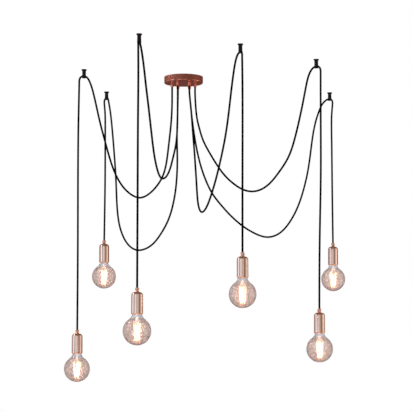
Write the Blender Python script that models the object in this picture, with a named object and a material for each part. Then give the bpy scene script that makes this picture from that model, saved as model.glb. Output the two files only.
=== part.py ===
"""Six-arm swag pendant light.

A copper rose on the ceiling feeds six fabric-covered cords. Each cord swags to its own ceiling hook, goes through
the lower end of the hook and drops to a copper lampholder with a clear globe bulb. Metres, +Z up. The origin is the
centre of the rose on the ceiling plane, so everything but the ceiling faces lies below it.
"""

import math
from dataclasses import dataclass

import bmesh
import bpy
import numpy as np
from mathutils import Matrix, Vector

# Fits
SEAT_GAP = 0.0003  # between two pieces that touch
TURN_GAP = 0.0009  # between two end faces that tilt against each other
PASSAGE_GAP = 0.0004  # round the cord inside a hook
THREAD_GAP = 0.0005  # round the screw cap inside its insert
CUT_OVERRUN = 0.002  # how far a cutter runs past what it cuts
MERGE_DISTANCE = 0.000001

# Cord
CORD_DIAMETER = 0.006
CORD_LONGEST_RUN = 0.130  # longest straight piece of a cord's tube
CORD_TURN_PER_RUN = math.radians(22)
CORD_BEVEL_RESOLUTION = 2
CORD_STUB = 0.002  # straight length that squares each end of a cord
SPLINE_SAMPLES = 16  # points read from a route between two of its hand-chosen ones

# Layout under the ceiling
LAYOUT_RADIUS = 0.8074  # rose centre to the farthest hook
LONGEST_DROP = 0.9753  # ceiling to the top of the lowest lampholder
LOOP_RADIUS = 0.019  # bend of a cord on the outer side of its hook
LOOP_DEGREES = (120, 90, 60, 30, 0)  # where the route is fixed round the bend, from the hook to the drop

# Rose
ROSE_RADIUS = 0.0743
ROSE_HEIGHT = 0.025
ROSE_WALL = 0.0012
ROSE_EDGE_RADIUS = 0.003
GRIP_CIRCLE_RADIUS = 0.044  # centres of the six cord grips

# Mounting bracket inside the rose
BRACKET_WIDTH = 0.024
BRACKET_THICKNESS = 0.002
BRACKET_EAR_DROP = 0.014
BRACKET_SLOT_WIDTH = 0.005
BRACKET_SLOT_LENGTH = 0.018
BRACKET_SLOT_REACH = 0.030  # bracket centre to the middle of a slot
SIDE_SCREW_RADIUS = 0.002
SIDE_SCREW_LENGTH = 0.0065
SIDE_SCREW_DEPTH = 0.009  # ceiling to the screw's axis
EARTH_SCREW_INSET = 0.0158  # inner face of the right ear to the screw's axis
EARTH_SCREW_RADIUS = 0.002
EARTH_HEAD_RADIUS = 0.004
EARTH_HEAD_HEIGHT = 0.0028

# Terminal block
TERMINAL_POLES = 3
TERMINAL_PITCH = 0.011
TERMINAL_WIDTH = 0.019
TERMINAL_BASE_HEIGHT = 0.006
TERMINAL_TOWER_HEIGHT = 0.0135
TERMINAL_TOWER_WIDTH = 0.0085
TERMINAL_BORE_RADIUS = 0.0019

# Cord grip of the rose
STEM_RADIUS = 0.0047  # threaded stem of every cord grip
NUT_RADIUS = 0.0072
NUT_HEIGHT = 0.0035
ROSE_GRIP_RADIUS = 0.0060
ROSE_GRIP_LENGTH = 0.0155
ROSE_GRIP_TAPER = 0.0035
ROSE_GRIP_MOUTH_RADIUS = 0.0046

# Cord grip of the lampholder
HOLDER_RING_RADIUS = 0.0069
HOLDER_RING_HEIGHT = 0.0055
HOLDER_NECK_RADIUS = 0.0056
HOLDER_FOOT_RADIUS = 0.0070
HOLDER_FOOT_HEIGHT = 0.0025
HOLDER_GRIP_LENGTH = 0.0140
HOLDER_CHAMFER = 0.0008

# Lampholder cup
CUP_HEIGHT = 0.0742
CUP_WALL = 0.0010
CUP_SHOULDER_RADIUS = 0.0198
CUP_SHOULDER_ROUND = 0.0115
CUP_MOUTH_RADIUS = 0.0200
CUP_RIM_ROLL = 0.0030  # height of the rolled-in rim
CUP_RIM_RADIUS = 0.0188

# Lamp insert
INSERT_RADIUS = 0.0160
INSERT_FLOOR_DEPTH = 0.0265  # thickness of the floor over the screw cap
INSERT_BORE_DEPTH = 0.0270
INSERT_CHAMFER = 0.0030

# Bulb
GLOBE_RADIUS = 0.0475
GLOBE_DEPTH = 0.0555  # cup mouth to the centre of the globe
GLASS_WALL = 0.0011
NECK_RADIUS = 0.0152
NECK_BLEND_RADIUS = 0.028
CAP_RADIUS = 0.0131
CAP_HEIGHT = 0.0250
CAP_CONTACT_RADIUS = 0.0048
CAP_CONTACT_HEIGHT = 0.0022
CAP_SHOULDER_RADIUS = 0.0110
CAP_SHOULDER_HEIGHT = 0.0028
CAP_CLEARANCE = 0.0005  # contact to the floor of the insert
STEM_TOP_RADIUS = 0.0085
STEM_FOOT_RADIUS = 0.0032
STEM_LENGTH = 0.0395  # screw cap to the foot of the glass stem
ROD_RADIUS = 0.0011
FILAMENT_HEIGHT = 0.0570
FILAMENT_RADIUS = 0.0115
FILAMENT_BARS = 6
FILAMENT_BAR_RADIUS = 0.0007
SPIDER_RADIUS = 0.0130
SPIDER_THICKNESS = 0.0012

# Hook
HOOK_FLANGE_RADIUS = 0.0102
HOOK_FLANGE_RIM = 0.0013
HOOK_FLANGE_HEIGHT = 0.0062
HOOK_RADIUS = 0.00725
HOOK_HEIGHT = 0.0330
HOOK_CHAMFER = 0.0008
HOOK_CORD_RISE = 0.0075  # bottom of the hook to the middle of the cord

# Faces round each kind of turned piece
ROSE_SEGMENTS = 30
GLOBE_SEGMENTS = 14
CUP_SEGMENTS = 12
HOOK_SEGMENTS = 12
SMALL_SEGMENTS = 10
FILAMENT_BAR_SEGMENTS = 3
SHARP_DEGREES = 40  # edges sharper than this stay crisp


@dataclass(frozen=True)
class Arm:
    """One cord with its hook and lamp.

    The swag is a list of points (outward from the cord grip towards the hook, height). The drop is a list of points
    (outward from the axis of the hook, height). Both are in metres, chosen by hand along the real cord. A hook that
    is set elsewhere draws its swag out or in.
    """

    number: int
    grip_degrees: float  # place of the cord grip on the rose
    reach_share: float  # hook's distance from the rose, of LAYOUT_RADIUS
    bearing_degrees: float  # hook's direction from the rose
    depth_share: float  # depth of the lampholder, of LONGEST_DROP
    loop_share: float  # bend at the hook, of LOOP_RADIUS
    hang_share: float  # lamp's distance from the axis of the hook, of LOOP_RADIUS
    swag_span: float  # cord grip to hook on plan, as the swag's points were chosen
    swag: tuple
    drop: tuple


ARMS = (
    Arm(1, 180, 0.4977, 202.38, 1.0000, 1.00, 1.00, 0.3616,
        swag=((0.000, -0.062), (0.000, -0.100), (0.003, -0.167), (0.009, -0.226), (0.016, -0.284),
              (0.024, -0.338), (0.038, -0.385), (0.062, -0.424), (0.094, -0.456), (0.130, -0.473),
              (0.164, -0.465), (0.196, -0.441), (0.220, -0.410), (0.240, -0.372), (0.257, -0.326),
              (0.278, -0.258), (0.296, -0.196), (0.310, -0.140), (0.322, -0.093), (0.333, -0.058),
              (0.344, -0.036)),
        drop=((0.0200, -0.130), (0.0212, -0.250), (0.0210, -0.400), (0.0200, -0.560), (0.0190, -0.780))),
    Arm(2, 120, 0.5565, 134.22, 0.6142, 0.70, 0.45, 0.4068,
        swag=((0.000, -0.062), (0.001, -0.100), (0.003, -0.160), (0.005, -0.220), (0.004, -0.275),
              (0.003, -0.320), (0.005, -0.372), (0.012, -0.430), (0.028, -0.492), (0.053, -0.546),
              (0.088, -0.590), (0.130, -0.627), (0.177, -0.647), (0.228, -0.649), (0.277, -0.624),
              (0.313, -0.577), (0.333, -0.522), (0.343, -0.450), (0.349, -0.360), (0.361, -0.245),
              (0.374, -0.145), (0.385, -0.080), (0.394, -0.043)),
        drop=((0.0090, -0.080), (0.0068, -0.150), (0.0058, -0.280), (0.0062, -0.430))),
    Arm(3, 240, 1.0000, 259.96, 0.8859, 0.84, 0.89, 0.7662,
        swag=((0.000, -0.062), (0.000, -0.110), (0.003, -0.170), (0.012, -0.222), (0.030, -0.262),
              (0.056, -0.293), (0.088, -0.322), (0.124, -0.353), (0.165, -0.384), (0.232, -0.418),
              (0.300, -0.436), (0.358, -0.439), (0.412, -0.424), (0.458, -0.396), (0.497, -0.358),
              (0.553, -0.280), (0.602, -0.209), (0.638, -0.161), (0.670, -0.113), (0.702, -0.071),
              (0.729, -0.044), (0.747, -0.0325)),
        drop=((0.0125, -0.130), (0.0150, -0.300), (0.0158, -0.500), (0.0165, -0.700))),
    Arm(4, 300, 0.8175, 288.18, 0.7496, 1.00, 0.95, 0.6170,
        swag=((0.002, -0.064), (0.009, -0.092), (0.023, -0.132), (0.037, -0.184), (0.051, -0.240),
              (0.067, -0.300), (0.081, -0.360), (0.094, -0.420), (0.104, -0.470), (0.121, -0.515),
              (0.154, -0.541), (0.200, -0.539), (0.245, -0.517), (0.286, -0.486), (0.330, -0.446),
              (0.369, -0.404), (0.408, -0.356), (0.449, -0.296), (0.479, -0.236), (0.502, -0.179),
              (0.523, -0.127), (0.543, -0.084), (0.566, -0.048), (0.591, -0.031)),
        drop=((0.0215, -0.120), (0.0222, -0.260), (0.0208, -0.400), (0.0190, -0.560))),
    Arm(5, 0, 0.7434, 324.33, 0.9315, 1.00, 0.32, 0.5650,
        swag=((0.000, -0.062), (0.002, -0.100), (0.009, -0.158), (0.021, -0.201), (0.038, -0.246),
              (0.060, -0.284), (0.086, -0.322), (0.117, -0.363), (0.148, -0.397), (0.185, -0.427),
              (0.228, -0.452), (0.272, -0.463), (0.315, -0.458), (0.357, -0.436), (0.396, -0.400),
              (0.429, -0.362), (0.453, -0.320), (0.474, -0.262), (0.489, -0.212), (0.505, -0.152),
              (0.518, -0.099), (0.530, -0.059), (0.544, -0.036)),
        drop=((0.0185, -0.110), (0.0178, -0.250), (0.0165, -0.420), (0.0120, -0.580), (0.0080, -0.740))),
    Arm(6, 60, 0.8370, 30.21, 0.6237, 0.70, 0.53, 0.6380,
        swag=((0.001, -0.062), (0.006, -0.110), (0.014, -0.172), (0.024, -0.232), (0.036, -0.288),
              (0.053, -0.345), (0.074, -0.395), (0.101, -0.441), (0.139, -0.483), (0.184, -0.524),
              (0.235, -0.560), (0.286, -0.585), (0.340, -0.598), (0.386, -0.588), (0.423, -0.562),
              (0.458, -0.519), (0.488, -0.465), (0.510, -0.408), (0.529, -0.342), (0.543, -0.270),
              (0.556, -0.188), (0.570, -0.127), (0.585, -0.085), (0.601, -0.053), (0.619, -0.034)),
        drop=((0.0090, -0.090), (0.0078, -0.180), (0.0084, -0.320), (0.0090, -0.460))),
)


# Materials

def material(name, colour, roughness, metallic, alpha=1.0):
    """A Principled material for one kind of piece."""
    made = bpy.data.materials.new(name)
    made.use_nodes = True
    shader = made.node_tree.nodes["Principled BSDF"]
    shader.inputs["Base Color"].default_value = (*colour, 1.0)
    shader.inputs["Roughness"].default_value = roughness
    shader.inputs["Metallic"].default_value = metallic
    shader.inputs["Alpha"].default_value = alpha
    made.diffuse_color = (*colour, alpha)
    return made


def all_materials():
    """Every material of the light, by the name of what it covers."""
    return {
        "copper": material("polished_copper", (0.80, 0.46, 0.34), 0.16, 1.0),
        "rose_copper": material("dark_copper", (0.46, 0.24, 0.19), 0.30, 1.0),
        "black": material("black_nylon", (0.012, 0.012, 0.012), 0.45, 0.0),
        "fabric": material("black_fabric_braid", (0.010, 0.010, 0.011), 0.85, 0.0),
        "glass": material("smoked_glass", (0.86, 0.78, 0.76), 0.05, 0.0, alpha=0.35),
        "cap": material("nickel_cap", (0.70, 0.68, 0.64), 0.30, 1.0),
        "insert": material("black_insert", (0.03, 0.03, 0.03), 0.40, 0.0),
        "steel": material("zinc_steel", (0.62, 0.63, 0.65), 0.35, 1.0),
        "brass": material("brass_screw", (0.75, 0.60, 0.30), 0.30, 1.0),
        "terminal": material("white_nylon", (0.85, 0.85, 0.82), 0.50, 0.0),
    }


# Mesh tools

def add_object(name, mesh, finish, location=(0, 0, 0)):
    """A named object in the scene with one material and smooth round faces."""
    mesh.name = name
    mesh.materials.clear()
    mesh.materials.append(finish)
    mesh.shade_smooth()
    mesh.set_sharp_from_angle(angle=math.radians(SHARP_DEGREES))
    piece = bpy.data.objects.new(name, mesh)
    piece.location = location
    bpy.context.scene.collection.objects.link(piece)
    return piece


def turned(outline, segments):
    """A mesh made by turning an outline of (radius, height) points about Z.

    An outline that starts and ends on the axis is open there, and any other outline is closed.
    """
    bm = bmesh.new()
    points = [bm.verts.new((radius, 0.0, height)) for radius, height in outline]
    pairs = list(zip(points, points[1:]))
    on_axis = outline[0][0] == 0 and outline[-1][0] == 0
    if not on_axis:
        pairs.append((points[-1], points[0]))
    edges = [bm.edges.new(pair) for pair in pairs]
    bmesh.ops.spin(bm, geom=points + edges, cent=(0, 0, 0), axis=(0, 0, 1), angle=math.tau, steps=segments,
                   use_merge=True)
    bmesh.ops.remove_doubles(bm, verts=bm.verts, dist=MERGE_DISTANCE)
    bmesh.ops.dissolve_degenerate(bm, edges=bm.edges, dist=MERGE_DISTANCE)
    return finished(bm)


def finished(bm):
    """The bmesh as a mesh with its faces pointing out."""
    bmesh.ops.recalc_face_normals(bm, faces=bm.faces)
    mesh = bpy.data.meshes.new("piece")
    bm.to_mesh(mesh)
    bm.free()
    return mesh


def arc(centre, radius, start_degrees, end_degrees, steps):
    """Points (radius, height) along an arc of an outline, both ends included."""
    points = []
    for step in range(steps + 1):
        angle = math.radians(start_degrees + (end_degrees - start_degrees) * step / steps)
        points.append((centre[0] + radius * math.cos(angle), centre[1] + radius * math.sin(angle)))
    return points


def extruded(outline, low, high):
    """A mesh of an outline of (x, z) points drawn out along Y from low to high."""
    bm = bmesh.new()
    near = [bm.verts.new((x, low, z)) for x, z in outline]
    face = bm.faces.new(near)
    drawn = bmesh.ops.extrude_face_region(bm, geom=[face])
    far = [element for element in drawn["geom"] if isinstance(element, bmesh.types.BMVert)]
    bmesh.ops.translate(bm, verts=far, vec=(0, high - low, 0))
    return finished(bm)


def rod_between(start, end, radius, segments):
    """A mesh of a round rod from one point to another."""
    axis = Vector(end) - Vector(start)
    bm = bmesh.new()
    bmesh.ops.create_cone(bm, cap_ends=True, segments=segments, radius1=radius, radius2=radius, depth=axis.length)
    turn = axis.to_track_quat("Z", "Y").to_matrix().to_4x4()
    middle = (Vector(start) + Vector(end)) / 2
    bmesh.ops.transform(bm, verts=bm.verts, matrix=Matrix.Translation(middle) @ turn)
    return finished(bm)


def joined(meshes):
    """Several meshes in one, as separate shells."""
    bm = bmesh.new()
    for mesh in meshes:
        bm.from_mesh(mesh)
        bpy.data.meshes.remove(mesh)
    return finished(bm)


def cutter(name, mesh):
    """An object that is only there to cut or to join."""
    guide = bpy.data.objects.new(name, mesh)
    guide.display_type = "WIRE"
    guide.hide_render = True
    bpy.context.scene.collection.objects.link(guide)
    return guide


def combine(piece, tool, operation):
    """Cut or join a piece with a tool, exactly, and apply the result."""
    modifier = piece.modifiers.new(operation.title(), "BOOLEAN")
    modifier.operation = operation
    modifier.solver = "EXACT"
    modifier.object = tool
    bpy.context.view_layer.update()
    shaped = bpy.data.meshes.new_from_object(piece.evaluated_get(bpy.context.evaluated_depsgraph_get()))
    piece.modifiers.clear()
    old = piece.data
    shaped.name = piece.name
    piece.data = shaped
    bpy.data.meshes.remove(old)
    tool_mesh = tool.data
    bpy.data.objects.remove(tool)
    bpy.data.meshes.remove(tool_mesh)


# Places

def polar(radius, degrees):
    """A point on the ceiling plan at a distance and a direction from the rose."""
    angle = math.radians(degrees)
    return Vector((radius * math.cos(angle), radius * math.sin(angle), 0.0))


def grip_place(arm):
    return polar(GRIP_CIRCLE_RADIUS, arm.grip_degrees)


def hook_place(arm):
    return polar(LAYOUT_RADIUS * arm.reach_share, arm.bearing_degrees)


def heading(arm):
    """Unit vector on plan from the arm's cord grip to its hook."""
    return (hook_place(arm) - grip_place(arm)).normalized()


def loop_radius(arm):
    return LOOP_RADIUS * arm.loop_share


def loop_top():
    """Height of the middle of a cord inside its hook."""
    return HOOK_CORD_RISE - HOOK_HEIGHT


def hinge_point(arm):
    """Where the drop starts and swings: the end of the cord's bend on the outer side of the hook."""
    place = hook_place(arm) + heading(arm) * loop_radius(arm)
    place.z = loop_top() - loop_radius(arm)
    return place


def holder_point(arm):
    """Top of the arm's lampholder, where it tilts on the cord."""
    place = hook_place(arm) + heading(arm) * (LOOP_RADIUS * arm.hang_share)
    place.z = -LONGEST_DROP * arm.depth_share
    return place


def rose_grip_tip():
    """Height of the lower face of the rose's cord grips."""
    return -ROSE_HEIGHT - SEAT_GAP - ROSE_GRIP_LENGTH


# Cord routes

def spline(points, samples):
    """A smooth natural cubic curve through the points, read at even steps of its chords."""
    knots = np.array([tuple(point) for point in points])
    chords = np.sqrt(np.linalg.norm(np.diff(knots, axis=0), axis=1))
    times = np.concatenate(([0.0], np.cumsum(chords)))
    count = len(knots)
    system = np.eye(count)
    right = np.zeros_like(knots)
    for index in range(1, count - 1):
        before, after = chords[index - 1], chords[index]
        system[index, index - 1:index + 2] = before, 2 * (before + after), after
        rise_after = (knots[index + 1] - knots[index]) / after
        rise_before = (knots[index] - knots[index - 1]) / before
        right[index] = 6 * (rise_after - rise_before)
    bend = np.linalg.solve(system, right)
    curve = []
    for index in range(count - 1):
        span = chords[index]
        for step in range(samples):
            ahead = span * step / samples
            back = span - ahead
            curve.append(
                (bend[index] * back**3 + bend[index + 1] * ahead**3) / (6 * span)
                + (knots[index] / span - bend[index] * span / 6) * back
                + (knots[index + 1] / span - bend[index + 1] * span / 6) * ahead
            )
    curve.append(knots[-1])
    return [Vector(point) for point in curve]


def swag_curve(arm):
    """The cord's middle line from the rose's grip through the hook to the hinge of the drop."""
    out = heading(arm)
    start = grip_place(arm)
    exit_height = rose_grip_tip() - SEAT_GAP
    route = [start + Vector((0, 0, exit_height)), start + Vector((0, 0, exit_height - CORD_DIAMETER))]
    stretch_share = (hook_place(arm) - start).length / arm.swag_span
    route += [start + out * (along * stretch_share) + Vector((0, 0, height)) for along, height in arm.swag]
    radius = loop_radius(arm)
    centre = hook_place(arm) + Vector((0, 0, loop_top() - radius))
    for degrees in LOOP_DEGREES:
        angle = math.radians(degrees)
        route.append(centre + out * (radius * math.cos(angle)) + Vector((0, 0, radius * math.sin(angle))))
    end = route[-1] + Vector((0, 0, TURN_GAP / 2))
    curve = spline(route, SPLINE_SAMPLES)
    while curve[-1].z < end.z:
        curve.pop()
    return square_ended([*curve, end])


def drop_curve(arm):
    """The cord's middle line from its hinge to the top of the lampholder."""
    out = heading(arm)
    hook = hook_place(arm)
    top = hinge_point(arm) - Vector((0, 0, TURN_GAP / 2))
    bottom = holder_point(arm) + Vector((0, 0, TURN_GAP / 2))
    straight = Vector((0, 0, CORD_DIAMETER))
    route = [top, top - straight]
    route += [hook + out * along + Vector((0, 0, height)) for along, height in arm.drop]
    route += [bottom + straight, bottom]
    return square_ended(spline(route, SPLINE_SAMPLES))


def square_ended(curve):
    """The curve with an upright stub at each end, so that its end faces lie level."""
    stub = Vector((0, 0, CORD_STUB))
    first, last = curve[0], curve[-1]
    reach = CORD_STUB + CORD_DIAMETER / 4
    between = [point for point in curve if (point - first).length > reach and (point - last).length > reach]
    return [first, first - stub, *between, last + stub, last]


def thinned(curve):
    """The fewest points of a curve that keep each run short and each turn slight."""
    kept = [curve[0], curve[1]]
    turned_by = 0.0
    inner = curve[1:-1]
    for before, here, after in zip(inner, inner[1:], inner[2:]):
        turned_by += (here - before).angle(after - here, 0.0)
        if turned_by >= CORD_TURN_PER_RUN or (after - kept[-1]).length > CORD_LONGEST_RUN:
            kept.append(here)
            turned_by = 0.0
    return [*kept, *curve[-2:]]


def cord(name, curve, radius, finish):
    """A round cord along a curve, with flat ends."""
    data = bpy.data.curves.new(name, "CURVE")
    data.dimensions = "3D"
    data.bevel_depth = radius
    data.bevel_resolution = CORD_BEVEL_RESOLUTION
    data.use_fill_caps = True
    line = data.splines.new("POLY")
    line.points.add(len(curve) - 1)
    for place, point in zip(line.points, curve):
        place.co = (*point, 1.0)
    if finish:
        data.materials.append(finish)
    piece = bpy.data.objects.new(name, data)
    bpy.context.scene.collection.objects.link(piece)
    return piece


# Rose and what is inside it

def rose_cover(finishes):
    """The copper dish, with holes for the cord grips and the side screws."""
    inner_radius = ROSE_RADIUS - ROSE_WALL
    inner_round = ROSE_EDGE_RADIUS - ROSE_WALL
    round_centre_height = -ROSE_HEIGHT + ROSE_EDGE_RADIUS
    round_centre_radius = ROSE_RADIUS - ROSE_EDGE_RADIUS
    centre = (round_centre_radius, round_centre_height)
    outline = [(0.0, -ROSE_HEIGHT + ROSE_WALL)]
    outline += arc(centre, inner_round, -90, 0, 1)
    outline += [(inner_radius, -SEAT_GAP), (ROSE_RADIUS, -SEAT_GAP)]
    outline += arc(centre, ROSE_EDGE_RADIUS, 0, -90, 2)
    outline += [(0.0, -ROSE_HEIGHT)]
    piece = add_object("rose_cover", turned(outline, ROSE_SEGMENTS), finishes["rose_copper"])
    holes = []
    for arm in ARMS:
        place = grip_place(arm)
        low = place + Vector((0, 0, -ROSE_HEIGHT - CUT_OVERRUN))
        high = place + Vector((0, 0, -ROSE_HEIGHT + ROSE_WALL + CUT_OVERRUN))
        holes.append(rod_between(low, high, STEM_RADIUS + SEAT_GAP, SMALL_SEGMENTS))
    for side in (-1, 1):
        low = Vector((side * (inner_radius - CUT_OVERRUN), 0, -SIDE_SCREW_DEPTH))
        high = Vector((side * (ROSE_RADIUS + CUT_OVERRUN), 0, -SIDE_SCREW_DEPTH))
        holes.append(rod_between(low, high, SIDE_SCREW_RADIUS + SEAT_GAP, SMALL_SEGMENTS))
    combine(piece, cutter("cover_holes", joined(holes)), "DIFFERENCE")


def bracket_ear_reach():
    """Bracket centre to the outer face of an ear, whose corners stay inside the round cover."""
    inner_radius = ROSE_RADIUS - ROSE_WALL - SEAT_GAP
    return math.sqrt(inner_radius**2 - (BRACKET_WIDTH / 2) ** 2)


def earth_screw_reach():
    """Bracket centre to the earth screw's axis."""
    return bracket_ear_reach() - BRACKET_THICKNESS - EARTH_SCREW_INSET


def mounting_bracket(finishes):
    """The steel strap on the ceiling, with an ear turned down at each end and two slots for the ceiling screws."""
    reach = bracket_ear_reach()
    inner = reach - BRACKET_THICKNESS
    outline = [
        (-reach, 0.0), (-reach, -BRACKET_EAR_DROP), (-inner, -BRACKET_EAR_DROP), (-inner, -BRACKET_THICKNESS),
        (inner, -BRACKET_THICKNESS), (inner, -BRACKET_EAR_DROP), (reach, -BRACKET_EAR_DROP), (reach, 0.0),
    ]
    strap = extruded(outline, -BRACKET_WIDTH / 2, BRACKET_WIDTH / 2)
    piece = add_object("mounting_bracket", strap, finishes["steel"])
    cuts = []
    below = -BRACKET_THICKNESS - CUT_OVERRUN
    for side in (-1, 1):
        half_run = (BRACKET_SLOT_LENGTH - BRACKET_SLOT_WIDTH) / 2
        middle = side * BRACKET_SLOT_REACH
        cuts.append(slot_mesh(middle - half_run, middle + half_run, BRACKET_SLOT_WIDTH / 2, below, CUT_OVERRUN))
        start = Vector((side * (inner - CUT_OVERRUN), 0, -SIDE_SCREW_DEPTH))
        end = Vector((side * (reach + CUT_OVERRUN), 0, -SIDE_SCREW_DEPTH))
        cuts.append(rod_between(start, end, SIDE_SCREW_RADIUS + SEAT_GAP, SMALL_SEGMENTS))
    earth = Vector((earth_screw_reach(), 0, 0))
    hole = EARTH_SCREW_RADIUS + SEAT_GAP
    cuts.append(rod_between(earth + Vector((0, 0, below)), earth + Vector((0, 0, CUT_OVERRUN)), hole, SMALL_SEGMENTS))
    combine(piece, cutter("bracket_cuts", joined(cuts)), "DIFFERENCE")


def slot_mesh(start, end, radius, low, high):
    """A mesh of a slot with round ends along X, from one end's centre to the other's."""
    bm = bmesh.new()
    rim = []
    for centre, first in ((end, -90), (start, 90)):
        for step in range(SMALL_SEGMENTS // 2 + 1):
            angle = math.radians(first + 180 * step / (SMALL_SEGMENTS // 2))
            rim.append(bm.verts.new((centre + radius * math.cos(angle), radius * math.sin(angle), low)))
    drawn = bmesh.ops.extrude_face_region(bm, geom=[bm.faces.new(rim)])
    top = [element for element in drawn["geom"] if isinstance(element, bmesh.types.BMVert)]
    bmesh.ops.translate(bm, verts=top, vec=(0, 0, high - low))
    return finished(bm)


def side_screws(finishes):
    """Headless screws that go through the wall of the cover into the ears of the bracket."""
    for side, word in ((-1, "left"), (1, "right")):
        outer = Vector((side * (ROSE_RADIUS - SEAT_GAP), 0, -SIDE_SCREW_DEPTH))
        inner = outer - Vector((side * SIDE_SCREW_LENGTH, 0, 0))
        mesh = rod_between(inner, outer, SIDE_SCREW_RADIUS, SMALL_SEGMENTS)
        add_object(f"side_screw_{word}", mesh, finishes["steel"])


def earth_screw(finishes):
    """The earth screw, with its head under the strap."""
    head_top = -BRACKET_THICKNESS - SEAT_GAP
    head_bottom = head_top - EARTH_HEAD_HEIGHT
    outline = [
        (0.0, -SEAT_GAP), (EARTH_SCREW_RADIUS, -SEAT_GAP), (EARTH_SCREW_RADIUS, head_top),
        (EARTH_HEAD_RADIUS, head_top), (EARTH_HEAD_RADIUS, head_bottom), (0.0, head_bottom),
    ]
    add_object("earth_screw", turned(outline, SMALL_SEGMENTS), finishes["brass"],
               (earth_screw_reach(), 0, 0))


def terminal_block(finishes):
    """A block with one clamping tower for each pole and a wire bore through each tower."""
    top = -BRACKET_THICKNESS - SEAT_GAP
    width = TERMINAL_POLES * TERMINAL_PITCH
    outline = [(-width / 2, top), (-width / 2, top - TERMINAL_BASE_HEIGHT)]
    bores = []
    for pole in range(TERMINAL_POLES):
        middle = (pole - (TERMINAL_POLES - 1) / 2) * TERMINAL_PITCH
        half = TERMINAL_TOWER_WIDTH / 2
        outline += [(middle - half, top - TERMINAL_BASE_HEIGHT), (middle - half, top - TERMINAL_TOWER_HEIGHT),
                    (middle + half, top - TERMINAL_TOWER_HEIGHT), (middle + half, top - TERMINAL_BASE_HEIGHT)]
        bore_height = top - TERMINAL_BASE_HEIGHT
        start = Vector((middle, -TERMINAL_WIDTH / 2 - CUT_OVERRUN, bore_height))
        end = Vector((middle, TERMINAL_WIDTH / 2 + CUT_OVERRUN, bore_height))
        bores.append(rod_between(start, end, TERMINAL_BORE_RADIUS, SMALL_SEGMENTS - 2))
    outline += [(width / 2, top - TERMINAL_BASE_HEIGHT), (width / 2, top)]
    mesh = extruded(outline, -TERMINAL_WIDTH / 2, TERMINAL_WIDTH / 2)
    piece = add_object("terminal_block", mesh, finishes["terminal"])
    combine(piece, cutter("terminal_bores", joined(bores)), "DIFFERENCE")


def rose_cord_grip(arm, finishes):
    """The cord grip under the rose: lock nut inside, stem through the cover, tapered body outside."""
    nut_bottom = -ROSE_HEIGHT + ROSE_WALL + SEAT_GAP
    body_top = -ROSE_HEIGHT - SEAT_GAP
    tip = rose_grip_tip()
    outline = [
        (0.0, nut_bottom + NUT_HEIGHT), (NUT_RADIUS, nut_bottom + NUT_HEIGHT), (NUT_RADIUS, nut_bottom),
        (STEM_RADIUS, nut_bottom), (STEM_RADIUS, body_top), (ROSE_GRIP_RADIUS, body_top),
        (ROSE_GRIP_RADIUS, tip + ROSE_GRIP_TAPER), (ROSE_GRIP_MOUTH_RADIUS, tip), (0.0, tip),
    ]
    mesh = turned(outline, SMALL_SEGMENTS)
    add_object(f"rose_cord_grip_{arm.number}", mesh, finishes["copper"], grip_place(arm))


# Hook and cord

def ceiling_hook(arm, finishes, curve):
    """The turned hook, with a passage for the cord that follows the cord's own bend."""
    outline = [
        (0.0, 0.0), (HOOK_FLANGE_RADIUS, 0.0), (HOOK_FLANGE_RADIUS, -HOOK_FLANGE_RIM),
        (HOOK_RADIUS, -HOOK_FLANGE_HEIGHT), (HOOK_RADIUS, -HOOK_HEIGHT + HOOK_CHAMFER),
        (HOOK_RADIUS - HOOK_CHAMFER, -HOOK_HEIGHT), (0.0, -HOOK_HEIGHT),
    ]
    place = hook_place(arm)
    mesh = turned(outline, HOOK_SEGMENTS)
    half_facet = math.pi / HOOK_SEGMENTS
    mesh.transform(Matrix.Rotation(math.atan2(heading(arm).y, heading(arm).x) + half_facet, 4, "Z"))
    piece = add_object(f"ceiling_hook_{arm.number}", mesh, finishes["black"], place)
    points = thinned(curve)
    inside = [
        index for index, point in enumerate(points)
        if (point.xy - place.xy).length < HOOK_RADIUS + CUT_OVERRUN and point.z > -HOOK_HEIGHT
    ]
    around = points[inside[0] - 1:inside[-1] + 2]
    passage = cord("passage", around, CORD_DIAMETER / 2 + PASSAGE_GAP, None)
    tube = bpy.data.meshes.new_from_object(passage.evaluated_get(bpy.context.evaluated_depsgraph_get()))
    bpy.data.objects.remove(passage)
    bm = bmesh.new()
    bm.from_mesh(tube)
    bmesh.ops.remove_doubles(bm, verts=bm.verts, dist=MERGE_DISTANCE)
    combine(piece, cutter("hook_passage", finished(bm)), "DIFFERENCE")


# Lampholder and bulb, each built with the top of its cord grip at its own origin

def cup_top():
    return -HOLDER_GRIP_LENGTH - SEAT_GAP


def holder_cord_grip_outline():
    foot = -HOLDER_GRIP_LENGTH
    nut_top = cup_top() - CUP_WALL - SEAT_GAP
    nut_bottom = nut_top - NUT_HEIGHT
    ring_bottom = -HOLDER_RING_HEIGHT
    return [
        (0.0, 0.0), (HOLDER_RING_RADIUS, 0.0), (HOLDER_RING_RADIUS, ring_bottom),
        (HOLDER_NECK_RADIUS, ring_bottom - HOLDER_CHAMFER),
        (HOLDER_NECK_RADIUS, foot + HOLDER_FOOT_HEIGHT), (HOLDER_FOOT_RADIUS, foot),
        (STEM_RADIUS, foot), (STEM_RADIUS, nut_top), (NUT_RADIUS, nut_top), (NUT_RADIUS, nut_bottom),
        (0.0, nut_bottom),
    ]


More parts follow.
